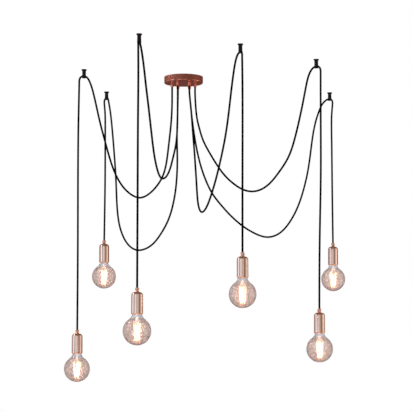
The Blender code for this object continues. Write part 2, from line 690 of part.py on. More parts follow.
def cup_outline():
    """The domed shoulder, the wall and the rolled-in rim, outside and then inside."""
    top = cup_top()
    hole = STEM_RADIUS + SEAT_GAP
    round_centre = (CUP_SHOULDER_RADIUS - CUP_SHOULDER_ROUND, top - CUP_SHOULDER_ROUND)
    roll_height = top - CUP_HEIGHT + CUP_RIM_ROLL
    outline = [(hole, top)]
    outline += arc(round_centre, CUP_SHOULDER_ROUND, 90, 0, 3)
    outline += [(CUP_MOUTH_RADIUS, roll_height), (CUP_RIM_RADIUS, top - CUP_HEIGHT)]
    outline += [(CUP_RIM_RADIUS - CUP_WALL, top - CUP_HEIGHT), (CUP_MOUTH_RADIUS - CUP_WALL, roll_height)]
    outline += arc(round_centre, CUP_SHOULDER_ROUND - CUP_WALL, 0, 90, 2)
    outline += [(hole, top - CUP_WALL)]
    return outline


def insert_top():
    return cup_top() - CUP_WALL - SEAT_GAP - NUT_HEIGHT - SEAT_GAP


def insert_outline():
    top = insert_top()
    floor = top - INSERT_FLOOR_DEPTH
    mouth = floor - INSERT_BORE_DEPTH
    bore = CAP_RADIUS + THREAD_GAP
    return [
        (0.0, top), (INSERT_RADIUS - INSERT_CHAMFER, top), (INSERT_RADIUS, top - INSERT_CHAMFER),
        (INSERT_RADIUS, mouth), (bore, mouth), (bore, floor), (0.0, floor),
    ]


def cap_top():
    return insert_top() - INSERT_FLOOR_DEPTH - CAP_CLEARANCE


def cap_bottom():
    return cap_top() - CAP_CONTACT_HEIGHT - CAP_SHOULDER_HEIGHT - CAP_HEIGHT


def globe_centre():
    return cup_top() - CUP_HEIGHT - GLOBE_DEPTH


def glass_side(inset, neck_top):
    """Outline of the blown glass at a depth under its outer skin, from the neck to the foot of the globe."""
    globe = GLOBE_RADIUS - inset
    neck = NECK_RADIUS - inset
    blend = NECK_BLEND_RADIUS + inset
    rise = math.sqrt((globe + blend) ** 2 - (neck + blend) ** 2)
    blend_centre = (neck + blend, globe_centre() + rise)
    meet_degrees = math.degrees(math.atan2(rise, neck + blend))
    points = [(neck, neck_top)]
    points += arc(blend_centre, blend, 180, 180 + meet_degrees, 2)
    points += arc((0.0, globe_centre()), globe, meet_degrees, -90, 6)[1:]
    points[-1] = (0.0, globe_centre() - globe)
    return points


def glass_outline():
    top = cap_bottom() - SEAT_GAP
    return glass_side(0.0, top)[::-1] + glass_side(GLASS_WALL, top)


def bulb_base_outline():
    """Screw cap, glass stem and support rod as one turned outline."""
    top = cap_top()
    contact = top - CAP_CONTACT_HEIGHT
    shoulder = contact - CAP_SHOULDER_HEIGHT
    bottom = cap_bottom()
    high, low = filament_top(), filament_bottom()
    return [
        (0.0, top), (CAP_CONTACT_RADIUS, top), (CAP_SHOULDER_RADIUS, contact), (CAP_RADIUS, shoulder),
        (CAP_RADIUS, bottom), (STEM_TOP_RADIUS, bottom), (STEM_FOOT_RADIUS, bottom - STEM_LENGTH),
        (ROD_RADIUS, high), (SPIDER_RADIUS, high), (SPIDER_RADIUS, high - SPIDER_THICKNESS),
        (ROD_RADIUS, high - SPIDER_THICKNESS), (ROD_RADIUS, low + SPIDER_THICKNESS),
        (SPIDER_RADIUS, low + SPIDER_THICKNESS), (SPIDER_RADIUS, low), (0.0, low),
    ]


def filament_top():
    return cap_bottom() - STEM_LENGTH - STEM_FOOT_RADIUS


def filament_bottom():
    return filament_top() - FILAMENT_HEIGHT


def filament_bar_mesh(index):
    """One upright bar of the squirrel cage, from the middle of the upper plate to the middle of the lower one."""
    angle = math.tau * (index + 0.5) / FILAMENT_BARS
    top = Vector((FILAMENT_RADIUS * math.cos(angle), FILAMENT_RADIUS * math.sin(angle), filament_top()))
    bottom = top.copy()
    top.z -= SPIDER_THICKNESS / 2
    bottom.z = filament_bottom() + SPIDER_THICKNESS / 2
    return rod_between(bottom, top, FILAMENT_BAR_RADIUS, FILAMENT_BAR_SEGMENTS)


def bulb_base_mesh():
    """The screw cap and stem joined to the filament cage."""
    stem = cutter("bulb_stem", turned(bulb_base_outline(), SMALL_SEGMENTS))
    bars = joined([filament_bar_mesh(index) for index in range(FILAMENT_BARS)])
    combine(stem, cutter("filament_bars", bars), "UNION")
    mesh = stem.data.copy()
    old = stem.data
    bpy.data.objects.remove(stem)
    bpy.data.meshes.remove(old)
    return mesh


def build():
    for old in list(bpy.data.objects):
        bpy.data.objects.remove(old)
    finishes = all_materials()
    rose_cover(finishes)
    mounting_bracket(finishes)
    side_screws(finishes)
    earth_screw(finishes)
    terminal_block(finishes)
    kinds = {
        "holder_cord_grip": (turned(holder_cord_grip_outline(), SMALL_SEGMENTS), "copper"),
        "lampholder_cup": (turned(cup_outline(), CUP_SEGMENTS), "copper"),
        "lamp_insert": (turned(insert_outline(), SMALL_SEGMENTS), "insert"),
        "bulb_glass": (turned(glass_outline(), GLOBE_SEGMENTS), "glass"),
        "bulb_base": (bulb_base_mesh(), "cap"),
    }
    for arm in ARMS:
        rose_cord_grip(arm, finishes)
        curve = swag_curve(arm)
        ceiling_hook(arm, finishes, curve)
        cord(f"swag_cord_{arm.number}", thinned(curve), CORD_DIAMETER / 2, finishes["fabric"])
        cord(f"drop_cord_{arm.number}", thinned(drop_curve(arm)), CORD_DIAMETER / 2, finishes["fabric"])
        for kind, (mesh, finish) in kinds.items():
            place = holder_point(arm) - Vector((0, 0, TURN_GAP / 2))
            add_object(f"{kind}_{arm.number}", mesh.copy(), finishes[finish], place)


build()
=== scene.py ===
"""A six-arm swag pendant light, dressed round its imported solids.

A copper rose on the ceiling feeds six braided cables. Each cable swags to its own ceiling hook, goes through the lower
end of the hook and drops to a copper lampholder with a globe filament bulb. Everything is in metres, +Z up, with the
centre of the rose on the ceiling plane at the origin.
"""

import logging
import math
from collections.abc import Callable
from dataclasses import dataclass
from enum import Enum

import bmesh
import bpy
import numpy as np
from mathutils import Matrix, Vector


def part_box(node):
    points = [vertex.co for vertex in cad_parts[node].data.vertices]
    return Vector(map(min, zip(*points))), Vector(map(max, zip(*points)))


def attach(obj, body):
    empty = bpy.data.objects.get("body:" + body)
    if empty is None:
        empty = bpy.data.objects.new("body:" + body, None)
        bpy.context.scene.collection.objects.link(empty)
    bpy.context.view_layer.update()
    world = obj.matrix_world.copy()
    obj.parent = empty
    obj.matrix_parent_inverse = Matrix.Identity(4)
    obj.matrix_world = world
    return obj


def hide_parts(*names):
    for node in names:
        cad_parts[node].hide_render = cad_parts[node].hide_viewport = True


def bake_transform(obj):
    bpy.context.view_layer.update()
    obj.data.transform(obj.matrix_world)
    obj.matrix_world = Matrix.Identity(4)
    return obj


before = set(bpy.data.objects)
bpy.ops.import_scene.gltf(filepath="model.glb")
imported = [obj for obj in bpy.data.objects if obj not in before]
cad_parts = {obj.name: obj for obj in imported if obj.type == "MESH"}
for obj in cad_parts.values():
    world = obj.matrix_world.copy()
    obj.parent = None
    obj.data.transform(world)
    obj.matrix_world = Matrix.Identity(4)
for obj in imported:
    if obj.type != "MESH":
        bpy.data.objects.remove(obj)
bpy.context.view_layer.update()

Mesh = bpy.types.Mesh
Socket = bpy.types.NodeSocket
Tree = bpy.types.NodeTree
Outline = list[tuple[float, float]]
Stops = tuple[tuple[float, str], ...]

LOG = logging.getLogger("pendant")
MM = 0.001
SHARP_DEGREES = 32.0
SQUARE_WEAR_DEGREES = 30.0
LONGEST_ROUNDING = 0.49
MERGE_DISTANCE = 1e-6
UV_NAME = "surface"
WEAR_NAME = "wear"
# Stored glow: the filament wire's own heat, and on the cups the mask of a painted lip glow.
WIRE_HEAT_AND_PAINTED_LIP_GLOW_NAME = "glow"
NECK_NAME = "neck"


class Slot(Enum):
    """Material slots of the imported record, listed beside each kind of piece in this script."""

    COPPER = "copper"
    ROSE_COPPER = "rose_copper"
    BLACK_NYLON = "black_nylon"
    BLACK_FABRIC = "black_fabric"
    SMOKED_GLASS = "smoked_glass"
    NICKEL_CAP = "nickel_cap"
    BLACK_INSERT = "black_insert"
    ZINC_STEEL = "zinc_steel"
    BRASS_SCREW = "brass_screw"


# Colours and nodes


def linear(hex_colour: str) -> tuple[float, float, float, float]:
    """Turn an sRGB hex value into a linear colour.

    Args:
        hex_colour: six hex digits, such as "F4C8B4".

    Returns:
        Red, green, blue and an alpha of 1.
    """
    channels = [int(hex_colour[start:start + 2], 16) / 255 for start in (0, 2, 4)]
    bright = [c / 12.92 if c <= 0.04045 else ((c + 0.055) / 1.055) ** 2.4 for c in channels]
    return (*bright, 1.0)


def add_node(tree: Tree, kind: str, links: dict | tuple = (), values: dict | tuple = (), stops: Stops = (),
             **settings: object) -> bpy.types.Node:
    """Add a node with its settings, socket values and links.

    Args:
        tree: the shader or geometry tree.
        kind: the node's type name, or the operation of a maths node, in capitals.
        links: input name or number to what feeds it, or a tuple of what feeds them in their order. A socket, a node
            (which gives its first output) or a plain number can feed an input.
        values: input name or number to its value.
        stops: pairs of place and hex colour, for a colour ramp.
        settings: properties of the node itself.

    Returns:
        The new node.
    """
    if kind.isupper():
        settings["operation"], kind = kind, "ShaderNodeMath"
    node = tree.nodes.new(kind)
    for key, value in settings.items():
        setattr(node, key, value)
    for fed in (values, links):
        for key, source in fed.items() if isinstance(fed, dict) else enumerate(fed):
            if isinstance(source, bpy.types.Node):
                source = source.outputs[0]
            if isinstance(source, Socket):
                tree.links.new(source, node.inputs[key])
            else:
                node.inputs[key].default_value = source
    if stops:
        band = node.color_ramp
        while len(band.elements) < len(stops):
            band.elements.new(1.0)
        for element, (place, colour) in zip(band.elements, stops):
            element.position = place
            element.color = linear(colour)
    return node


# Finishes


@dataclass(frozen=True)
class Finish:
    """A surface finish, made into one material the first time it is asked for."""

    name: str
    colour: str
    roughness: float
    metallic: float

    def material(self) -> bpy.types.Material:
        """Return the finish's material.

        Returns:
            The material, which all pieces of the finish share.
        """
        made = bpy.data.materials.get(self.name)
        if made is None:
            made = bpy.data.materials.new(self.name)
            made.use_nodes = True
            tree = made.node_tree
            shader = tree.nodes["Principled BSDF"]
            shader.inputs["Base Color"].default_value = linear(self.colour)
            shader.inputs["Roughness"].default_value = self.roughness
            shader.inputs["Metallic"].default_value = self.metallic
            self.dress(tree, shader)
        return made

    def dress(self, tree: Tree, shader: bpy.types.Node) -> None:
        """Add the pattern of the finish; a plain finish adds none."""

    @staticmethod
    def noise(tree: Tree, grain: float, detail: float = 3.0,
              stretch: tuple[float, float, float] = (1.0, 1.0, 1.0)) -> Socket:
        """Add noise in object space.

        Args:
            tree: the shader tree.
            grain: size of the pattern in metres.
            detail: octaves of finer noise.
            stretch: scale along each axis.

        Returns:
            The noise value.
        """
        place = add_node(tree, "ShaderNodeTexCoord")
        turned_to = add_node(tree, "ShaderNodeMapping", {"Vector": place.outputs["Object"]}, {"Scale": stretch})
        node = add_node(tree, "ShaderNodeTexNoise", {"Vector": turned_to.outputs[0]},
                        {"Scale": 1.0 / grain, "Detail": detail})
        return node.outputs["Fac"]

    @staticmethod
    def surface(tree: Tree) -> tuple[Socket, Socket]:
        """Add the piece's own surface map and return its two directions, round (in turns) and along (in metres)."""
        parts = add_node(tree, "ShaderNodeSeparateXYZ",
                         {"Vector": add_node(tree, "ShaderNodeUVMap", uv_map=UV_NAME).outputs["UV"]})
        return parts.outputs["X"], parts.outputs["Y"]

    @staticmethod
    def bump(tree: Tree, shader: bpy.types.Node, height: Socket, depth: float) -> None:
        """Feed a height of 0 to 1 to the shader's normal, with its depth in metres."""
        node = add_node(tree, "ShaderNodeBump", {"Height": height}, {"Strength": 1.0, "Distance": depth})
        tree.links.new(node.outputs["Normal"], shader.inputs["Normal"])


@dataclass(frozen=True)
class PlatedCopper(Finish):
    """Copper plating over spun steel.

    The spinning leaves faint rings round the axis, handling leaves soft cloudy patches, and the plating is paler where
    rims and edges are rubbed.
    """

    deep: str
    worn: str
    cloud_grain: float = 14 * MM
    rub_grain: float = 2.2 * MM
    smear_grain: float = 6 * MM
    ring_pitch: float = 0.35 * MM
    ring_depth: float = 0.004 * MM

    def dress(self, tree: Tree, shader: bpy.types.Node) -> None:
        """Add the cloudy colour, the paler edges, the smears and the spun rings.

        Args:
            tree: the material's nodes.
            shader: its surface node.
        """
        cloud = self.noise(tree, self.cloud_grain, 4.0)
        patchy = add_node(tree, "ShaderNodeValToRGB", {"Fac": cloud}, stops=((0.32, self.deep), (0.62, self.colour)))
        tone = self.plating(tree, patchy.outputs["Color"])
        wear = add_node(tree, "ShaderNodeAttribute", attribute_name=WEAR_NAME).outputs["Fac"]
        rub = add_node(tree, "MULTIPLY", (wear, self.noise(tree, self.rub_grain, 2.0)))
        mix = add_node(tree, "ShaderNodeMix", {0: rub, 6: tone}, {7: linear(self.worn)}, data_type="RGBA")
        tree.links.new(mix.outputs[2], shader.inputs["Base Color"])
        streaks = self.noise(tree, self.smear_grain, 5.0, (1.0, 1.0, 0.25))
        smear = add_node(tree, "ShaderNodeMapRange", {"Value": streaks},
                         {"From Min": 0.35, "From Max": 0.7, "To Min": self.roughness * 0.7,
                          "To Max": self.roughness * 1.6})
        tree.links.new(self.gloss(tree, smear.outputs[0]), shader.inputs["Roughness"])
        along = self.surface(tree)[1]
        ring = add_node(tree, "SINE", (add_node(tree, "MULTIPLY", (along, math.tau / self.ring_pitch)),))
        self.bump(tree, shader, add_node(tree, "MULTIPLY_ADD", (ring, 0.5, 0.5)).outputs[0], self.ring_depth)

    def gloss(self, tree: Tree, smear: Socket) -> Socket:
        """Return the roughness, which is the smears alone on a piece that is polished all over."""
        return smear

    def plating(self, tree: Tree, tone: Socket) -> Socket:
        """Return the plating's colour, which is the cloudy tone alone on a piece that is plated evenly."""
        return tone


@dataclass(frozen=True)
class PaintedLipGlowCopper(PlatedCopper):
    """Polished copper plating with a painted glow on its lip, standing in for the filament's light reflected there.

    The painted glow is where the mesh's stored glow mask is above 0.
    """

    painted_dim_glow: str = "6A2A0C"
    glow: str = "FFA040"
    strength: float = 0.85

    def dress(self, tree: Tree, shader: bpy.types.Node) -> None:
        """Add the plating and the painted glow on the lip.

        Args:
            tree: the material's nodes.
            shader: its surface node.
        """
        super().dress(tree, shader)
        # Painted glow: emission on the lip stands in for the filament's light reflected on the rolled rim.
        lip = add_node(tree, "ShaderNodeAttribute", attribute_name=WIRE_HEAT_AND_PAINTED_LIP_GLOW_NAME).outputs["Fac"]
        glow = add_node(tree, "ShaderNodeValToRGB", {"Fac": lip},
                        stops=((0.0, "000000"), (0.45, self.painted_dim_glow), (0.8, self.glow)))
        tree.links.new(glow.outputs["Color"], shader.inputs["Emission Color"])
        shader.inputs["Emission Strength"].default_value = self.strength


@dataclass(frozen=True)
class BrushedShadedWallCopper(PlatedCopper):
    """Dark copper plating over a spun dish, polished on its face, with a duller wall from its brushing that is also
    painted darker and browner than the face as shade.

    The change from face to wall starts at face_height, in the piece's own space, and takes up fade above it.
    """

    # Painted shade: the wall's darker, browner tone.
    wall_painted_shade: str = "A3655A"
    brushed_roughness: float = 0.6
    face_height: float = -22 * MM
    fade: float = 1 * MM

    def wall(self, tree: Tree) -> Socket:
        """Return 0 on the face and 1 on the wall above it.

        Args:
            tree: the material's nodes.

        Returns:
            The share of the wall's look.
        """
        place = add_node(tree, "ShaderNodeSeparateXYZ",
                         {"Vector": add_node(tree, "ShaderNodeTexCoord").outputs["Object"]})
        above = add_node(tree, "SUBTRACT", (place.outputs["Z"], self.face_height))
        rise = add_node(tree, "DIVIDE", (above, self.fade))
        return add_node(tree, "ShaderNodeMapRange", {"Value": rise}).outputs[0]

    def gloss(self, tree: Tree, smear: Socket) -> Socket:
        """Make the wall duller, as its brushing leaves it."""
        duller = self.brushed_roughness - self.roughness
        return add_node(tree, "MULTIPLY_ADD", (self.wall(tree), duller, smear)).outputs[0]

    def plating(self, tree: Tree, tone: Socket) -> Socket:
        """Paint the wall darker and browner than the face, as painted shade."""
        # Painted shade: mix the wall's darker tone in above the face.
        mix = add_node(tree, "ShaderNodeMix", {0: self.wall(tree), 6: tone}, {7: linear(self.wall_painted_shade)},
                       data_type="RGBA")
        return mix.outputs[2]


@dataclass(frozen=True)
class BraidedTextile(Finish):
    """Black textile braid over a round flex.

    Two sets of flat yarns cross over and under each other in small diamonds. Each yarn is a bundle of fine threads,
    and loose fibres give the edge a dull sheen. The real yarn is 0.6 mm wide and is drawn at about that size.
    """

    light: str
    yarns_round: float = 16.0
    diamond_length: float = 2.0 * MM
    yarn_depth: float = 0.1 * MM
    threads: float = 10.0
    thread_relief: float = 0.06
    dust_grain: float = 9 * MM
    sheen: float = 0.02
    sheen_roughness: float = 0.5
    specular: float = 0.02

    def dress(self, tree: Tree, shader: bpy.types.Node) -> None:
        """Add the crossing yarns, their threads and the sheen of loose fibres.

        Args:
            tree: the material's nodes.
            shader: its surface node.
        """
        round_way, along = self.surface(tree)
        across = add_node(tree, "MULTIPLY", (round_way, self.yarns_round / 2))
        lengthwise = add_node(tree, "DIVIDE", (along, self.diamond_length))
        left = add_node(tree, "ADD", (across, lengthwise))
        right = add_node(tree, "SUBTRACT", (across, lengthwise))
        counts = [add_node(tree, "FLOOR", (add_node(tree, "MULTIPLY", (way, 2.0)),)) for way in (left, right)]
        crossing = add_node(tree, "ADD", tuple(counts))
        over = add_node(tree, "PINGPONG", (crossing, 1.0))
        crowns = [add_node(tree, "ABSOLUTE", (add_node(tree, "SINE", (add_node(tree, "MULTIPLY", (way, math.tau)),)),))
                  for way in (left, right)]
        threads = [add_node(tree, "SINE", (add_node(tree, "MULTIPLY", (way, math.tau * self.threads)),))
                   for way in (right, left)]
        height = add_node(tree, "ShaderNodeMix", {"Factor": over, 2: crowns[0], 3: crowns[1]})
        thread = add_node(tree, "ShaderNodeMix", {"Factor": over, 2: threads[0], 3: threads[1]})
        relief = add_node(tree, "MULTIPLY_ADD", (thread, self.thread_relief, height)).outputs[0]
        worn = add_node(tree, "MULTIPLY", (relief, self.noise(tree, self.dust_grain)))
        colour = add_node(tree, "ShaderNodeValToRGB", {"Fac": worn}, stops=((0.1, self.colour), (0.75, self.light)))
        tree.links.new(colour.outputs["Color"], shader.inputs["Base Color"])
        self.bump(tree, shader, relief, self.yarn_depth)
        shader.inputs["Sheen Weight"].default_value = self.sheen
        shader.inputs["Sheen Roughness"].default_value = self.sheen_roughness
        shader.inputs["Specular IOR Level"].default_value = self.specular


@dataclass(frozen=True)
class MouldedPlastic(Finish):
    """Injection-moulded plastic with a fine spark-eroded skin and slightly polished high spots."""

    light: str
    grain: float = 0.7 * MM
    grain_depth: float = 0.015 * MM
    patch_grain: float = 11 * MM
    specular: float = 0.25

    def dress(self, tree: Tree, shader: bpy.types.Node) -> None:
        """Add the eroded skin, the uneven gloss and a faint change of tone.

        Args:
            tree: the material's nodes.
            shader: its surface node.
        """
        skin = self.noise(tree, self.grain, 4.0)
        tone = add_node(tree, "ShaderNodeValToRGB", {"Fac": self.noise(tree, self.patch_grain)},
                        stops=((0.3, self.colour), (0.75, self.light)))
        tree.links.new(tone.outputs["Color"], shader.inputs["Base Color"])
        gloss = add_node(tree, "ShaderNodeMapRange", {"Value": skin},
                         {"To Min": self.roughness * 0.75, "To Max": self.roughness * 1.25})
        tree.links.new(gloss.outputs[0], shader.inputs["Roughness"])
        shader.inputs["Specular IOR Level"].default_value = self.specular
        self.bump(tree, shader, skin, self.grain_depth)


@dataclass(frozen=True)
class TurnedMetal(Finish):
    """Machined metal with lathe lines and a faint bloom of tarnish."""

    deep: str
    bloom_grain: float = 3.5 * MM
    gloss_grain: float = 1.2 * MM
    line_pitch: float = 0.25 * MM
    line_depth: float = 0.006 * MM

    def dress(self, tree: Tree, shader: bpy.types.Node) -> None:
        """Add the tarnish, the uneven gloss and the lathe lines.

        Args:
            tree: the material's nodes.
            shader: its surface node.
        """
        bloom = self.noise(tree, self.bloom_grain, 5.0)
        tone = add_node(tree, "ShaderNodeValToRGB", {"Fac": bloom}, stops=((0.35, self.deep), (0.65, self.colour)))
        tree.links.new(tone.outputs["Color"], shader.inputs["Base Color"])
        gloss = add_node(tree, "ShaderNodeMapRange", {"Value": self.noise(tree, self.gloss_grain)},
                         {"To Min": self.roughness * 0.7, "To Max": self.roughness * 1.35})
        tree.links.new(gloss.outputs[0], shader.inputs["Roughness"])
        lines = self.noise(tree, self.line_pitch, 2.0, (0.02, 0.02, 1.0))
        self.bump(tree, shader, lines, self.line_depth)


@dataclass(frozen=True)
class BlownGlass(Finish):
    """Mould-blown soda glass with a thin smoky rose tint.

    The blown wall is never quite even, so the far wall and the lights wander a little in it. A dusting of pinhead
    specks, too fine to see one by one, spreads the filament's light into a soft halo. The tint fades to plain glass
    in the neck.
    """

    deep: str
    plain: str
    speck: float = 0.16 * MM
    speck_noise: tuple[float, float] = (0.57, 0.61)
    speck_roughness: float = 0.55
    drift: float = 8 * MM
    ripple: float = 30 * MM
    ripple_depth: float = 0.06 * MM
    ior: float = 1.5

    def dress(self, tree: Tree, shader: bpy.types.Node) -> None:
        """Let light through, and add the specks, the ripple of the wall and the drift of its tint.

        Args:
            tree: the material's nodes.
            shader: its surface node.
        """
        shader.inputs["Transmission Weight"].default_value = 1.0
        shader.inputs["IOR"].default_value = self.ior
        none, full = self.speck_noise
        dust = add_node(tree, "ShaderNodeMapRange", {"Value": self.noise(tree, self.speck, 0.0)},
                        {"From Min": none, "From Max": full, "To Min": self.roughness, "To Max": self.speck_roughness})
        tree.links.new(dust.outputs[0], shader.inputs["Roughness"])
        tint = add_node(tree, "ShaderNodeValToRGB", {"Fac": self.noise(tree, self.drift)},
                        stops=((0.38, self.deep), (0.6, self.colour)))
        neck = add_node(tree, "ShaderNodeAttribute", attribute_name=NECK_NAME).outputs["Fac"]
        mix = add_node(tree, "ShaderNodeMix", {0: neck, 6: tint}, {7: linear(self.plain)}, data_type="RGBA")
        tree.links.new(mix.outputs[2], shader.inputs["Base Color"])
        self.bump(tree, shader, self.noise(tree, self.ripple, 2.0), self.ripple_depth)


@dataclass(frozen=True)
class GlowingWire(Finish):
    """Wire that gives off light: on the filament it is hot, white where it is hottest and amber at its cooler ends; on
    the lead wires it is a painted glint.
    """

    amber: str
    strength: float

    def dress(self, tree: Tree, shader: bpy.types.Node) -> None:
        """Add the glow, with its colour from the wire's own heat.

        Args:
            tree: the material's nodes.
            shader: its surface node.
        """
        heat = add_node(tree, "ShaderNodeAttribute", attribute_name=WIRE_HEAT_AND_PAINTED_LIP_GLOW_NAME).outputs["Fac"]
        glow = add_node(tree, "ShaderNodeValToRGB", {"Fac": heat}, stops=((0.0, self.amber), (1.0, self.colour)))
        tree.links.new(glow.outputs["Color"], shader.inputs["Emission Color"])
        shader.inputs["Emission Strength"].default_value = self.strength


@dataclass(frozen=True)
class GlassWithPaintedGlow(Finish):
    """Clear pressed glass of a bulb's stem, with a painted glow that stands in for the filament's light carried up into
    the neck.
    """

    glow: str
    strength: float
    transmission: float = 0.85
    wave: float = 7 * MM
    wave_depth: float = 0.3 * MM

    def dress(self, tree: Tree, shader: bpy.types.Node) -> None:
        """Let light through, add the painted glow and the wavy pressed skin.

        Args:
            tree: the material's nodes.
            shader: its surface node.
        """
        shader.inputs["Transmission Weight"].default_value = self.transmission
        shader.inputs["Emission Strength"].default_value = self.strength
        skin = self.noise(tree, self.wave)
        # Painted glow: the emission's colour wanders with the noise of the pressed skin.
        carried = add_node(tree, "ShaderNodeValToRGB", {"Fac": skin}, stops=((0.3, self.glow), (0.7, self.colour)))
        tree.links.new(carried.outputs["Color"], shader.inputs["Emission Color"])
        self.bump(tree, shader, skin, self.wave_depth)


# The cup's copper carries a painted glow on its lip, in place of the filament's reflected light.
POLISHED_COPPER_PAINTED_LIP_GLOW = PaintedLipGlowCopper("polished_copper_painted_lip_glow", "EEDBD3", 0.05, 1.0, deep="E9CFC4", worn="F5E6DD")
GRIP_COPPER = PlatedCopper("turned_copper_plating", "E6B4A2", 0.16, 1.0, deep="D39783", worn="F3CDBD")
ROSE_GRIP_COPPER = PlatedCopper("turned_rose_copper", "E39486", 0.14, 1.0, deep="C97566", worn="F0B5A8")
# One plating in painted light and shade: the face tone is painted lighter, to brighten what it mirrors, and the wall
# tone darker.
ROSE_COPPER = BrushedShadedWallCopper("spun_dark_copper", "CE8E80", 0.1, 1.0, deep="BF8072", worn="DDA294")
CABLE_BRAID = BraidedTextile("black_braided_textile", "030304", 0.9, 0.0, light="0C0C0E")
HOOK_NYLON = MouldedPlastic("black_moulded_nylon", "050506", 0.55, 0.0, light="0B0B0C")
INSERT_RESIN = MouldedPlastic("black_phenolic_resin", "141312", 0.45, 0.0, light="242220")
TERMINAL_NYLON = MouldedPlastic("natural_moulded_nylon", "DCD9CF", 0.42, 0.0, light="EFEDE6")
TINTED_GLASS = BlownGlass("smoky_blown_glass", "F5EAE6", 0.03, 0.0, deep="D5C5C1", plain="E2E6EE")
CAP_NICKEL = TurnedMetal("nickel_plated_brass", "D3CFC6", 0.26, 1.0, deep="A9A297")
PLATED_STEEL = TurnedMetal("zinc_plated_steel", "C2C6CA", 0.34, 1.0, deep="9A9C96")
SCREW_BRASS = TurnedMetal("plain_turned_brass", "D4B676", 0.28, 1.0, deep="A98748")
SCREW_BLACK = TurnedMetal("blackened_steel", "1B1A1C", 0.35, 1.0, deep="0E0D0E")
CAP_GLASS = MouldedPlastic("black_cap_glass", "0A0A0C", 0.12, 0.0, light="121216")
HOT_WIRE = GlowingWire("glowing_carbon_wire", "FFCAA6", 0.6, 0.0, amber="FF9F60", strength=17.0)
LEAD_WIRE = TurnedMetal("nickel_lead_wire", "B9A596", 0.35, 1.0, deep="8C6F5C")
# Painted glint: the lead wires glow in place of the filament's light catching them.
LEAD_PAINTED_GLINT = GlowingWire("nickel_painted_filament_glint", "FFF0E2", 0.3, 1.0, amber="FFF0E2", strength=1.6)
# Painted glow on the stem glass, in place of the filament's light inside it.
STEM_GLASS_PAINTED_GLOW = GlassWithPaintedGlow("pressed_stem_glass_painted_glow", "FFFAF6", 0.06, 0.0, glow="FFDCC8", strength=0.22)


# Meshes


def up(height: float) -> Vector:
    """Return an upright step of a height; a negative one goes down."""
    return Vector((0, 0, height))


def clamped(value: float) -> float:
    """Keep a value between 0 and 1."""
    return min(max(value, 0.0), 1.0)


def linked(name: str, data: bpy.types.ID) -> bpy.types.Object:
    """Make an object of a mesh, a lamp or a camera, and put it in the scene."""
    made = bpy.data.objects.new(name, data)
    bpy.context.scene.collection.objects.link(made)
    return made


def discard(guide: bpy.types.Object) -> None:
    """Remove an object that has done its work, and its mesh."""
    mesh = guide.data
    bpy.data.objects.remove(guide)
    bpy.data.meshes.remove(mesh)


def drawn(bm: bmesh.types.BMesh, name: str = "piece") -> Mesh:
    """Write a drawing into a new mesh and free it.

    Args:
        bm: the drawing.
        name: name of the mesh.

    Returns:
        The mesh.
    """
    mesh = bpy.data.meshes.new(name)
    bm.to_mesh(mesh)
    bm.free()
    return mesh


def store_fade(mesh: Mesh, name: str, start: float, length: float) -> None:
    """Store a value at each vertex, for a finish to read.

    Args:
        mesh: what gets the value.
        name: name of the value.
        start: height at which it is 0.
        length: how far above that it reaches 1, or below it where this is negative.
    """
    values = mesh.attributes.new(name, "FLOAT", "POINT")
    values.data.foreach_set("value", [clamped((vertex.co.z - start) / length) for vertex in mesh.vertices])


@dataclass(frozen=True)
class Bend:
    """A rounded corner of an outline: a quarter or less of a circle between two straight runs."""

    radius: float
    height: float
    round_by: float
    steps: int = 5


def rounded(corners: list[tuple[float, float] | Bend], closed: bool = False) -> Outline:
    """Round the marked corners of an outline.

    Args:
        corners: (radius, height) points, or Bend corners to round.
        closed: whether the last corner joins the first.

    Returns:
        The outline as (radius, height) points.
    """
    places = [Vector((c.radius, c.height)) if isinstance(c, Bend) else Vector(c) for c in corners]
    points: Outline = []
    count = len(corners)
    for index, corner in enumerate(corners):
        inner = closed or 0 < index < count - 1
        if not isinstance(corner, Bend) or not inner:
            points.append(tuple(places[index]))
            continue
        here = places[index]
        to_before = places[index - 1] - here
        to_after = places[(index + 1) % count] - here
        half = to_before.angle(to_after) / 2
        back = min(corner.round_by / math.tan(half), to_before.length * LONGEST_ROUNDING,
                   to_after.length * LONGEST_ROUNDING)
        start = here + to_before.normalized() * back
        end = here + to_after.normalized() * back
        for step in range(corner.steps + 1):
            share = step / corner.steps
            points.append(tuple(start * (1 - share) ** 2 + here * (2 * share * (1 - share)) + end * share**2))
    return points


def arc(centre: tuple[float, float], radius: float, start: float, end: float, steps: int) -> Outline:
    """Read points along an arc.

    Args:
        centre: its middle, as (radius, height).
        radius: its own radius.
        start: angle of its first point, in degrees from straight outward.
        end: angle of its last point.
        steps: how many parts it has.

    Returns:
        The (radius, height) points, both ends included.
    """
    angles = [math.radians(start + (end - start) * step / steps) for step in range(steps + 1)]
    return [(centre[0] + radius * math.cos(a), centre[1] + radius * math.sin(a)) for a in angles]


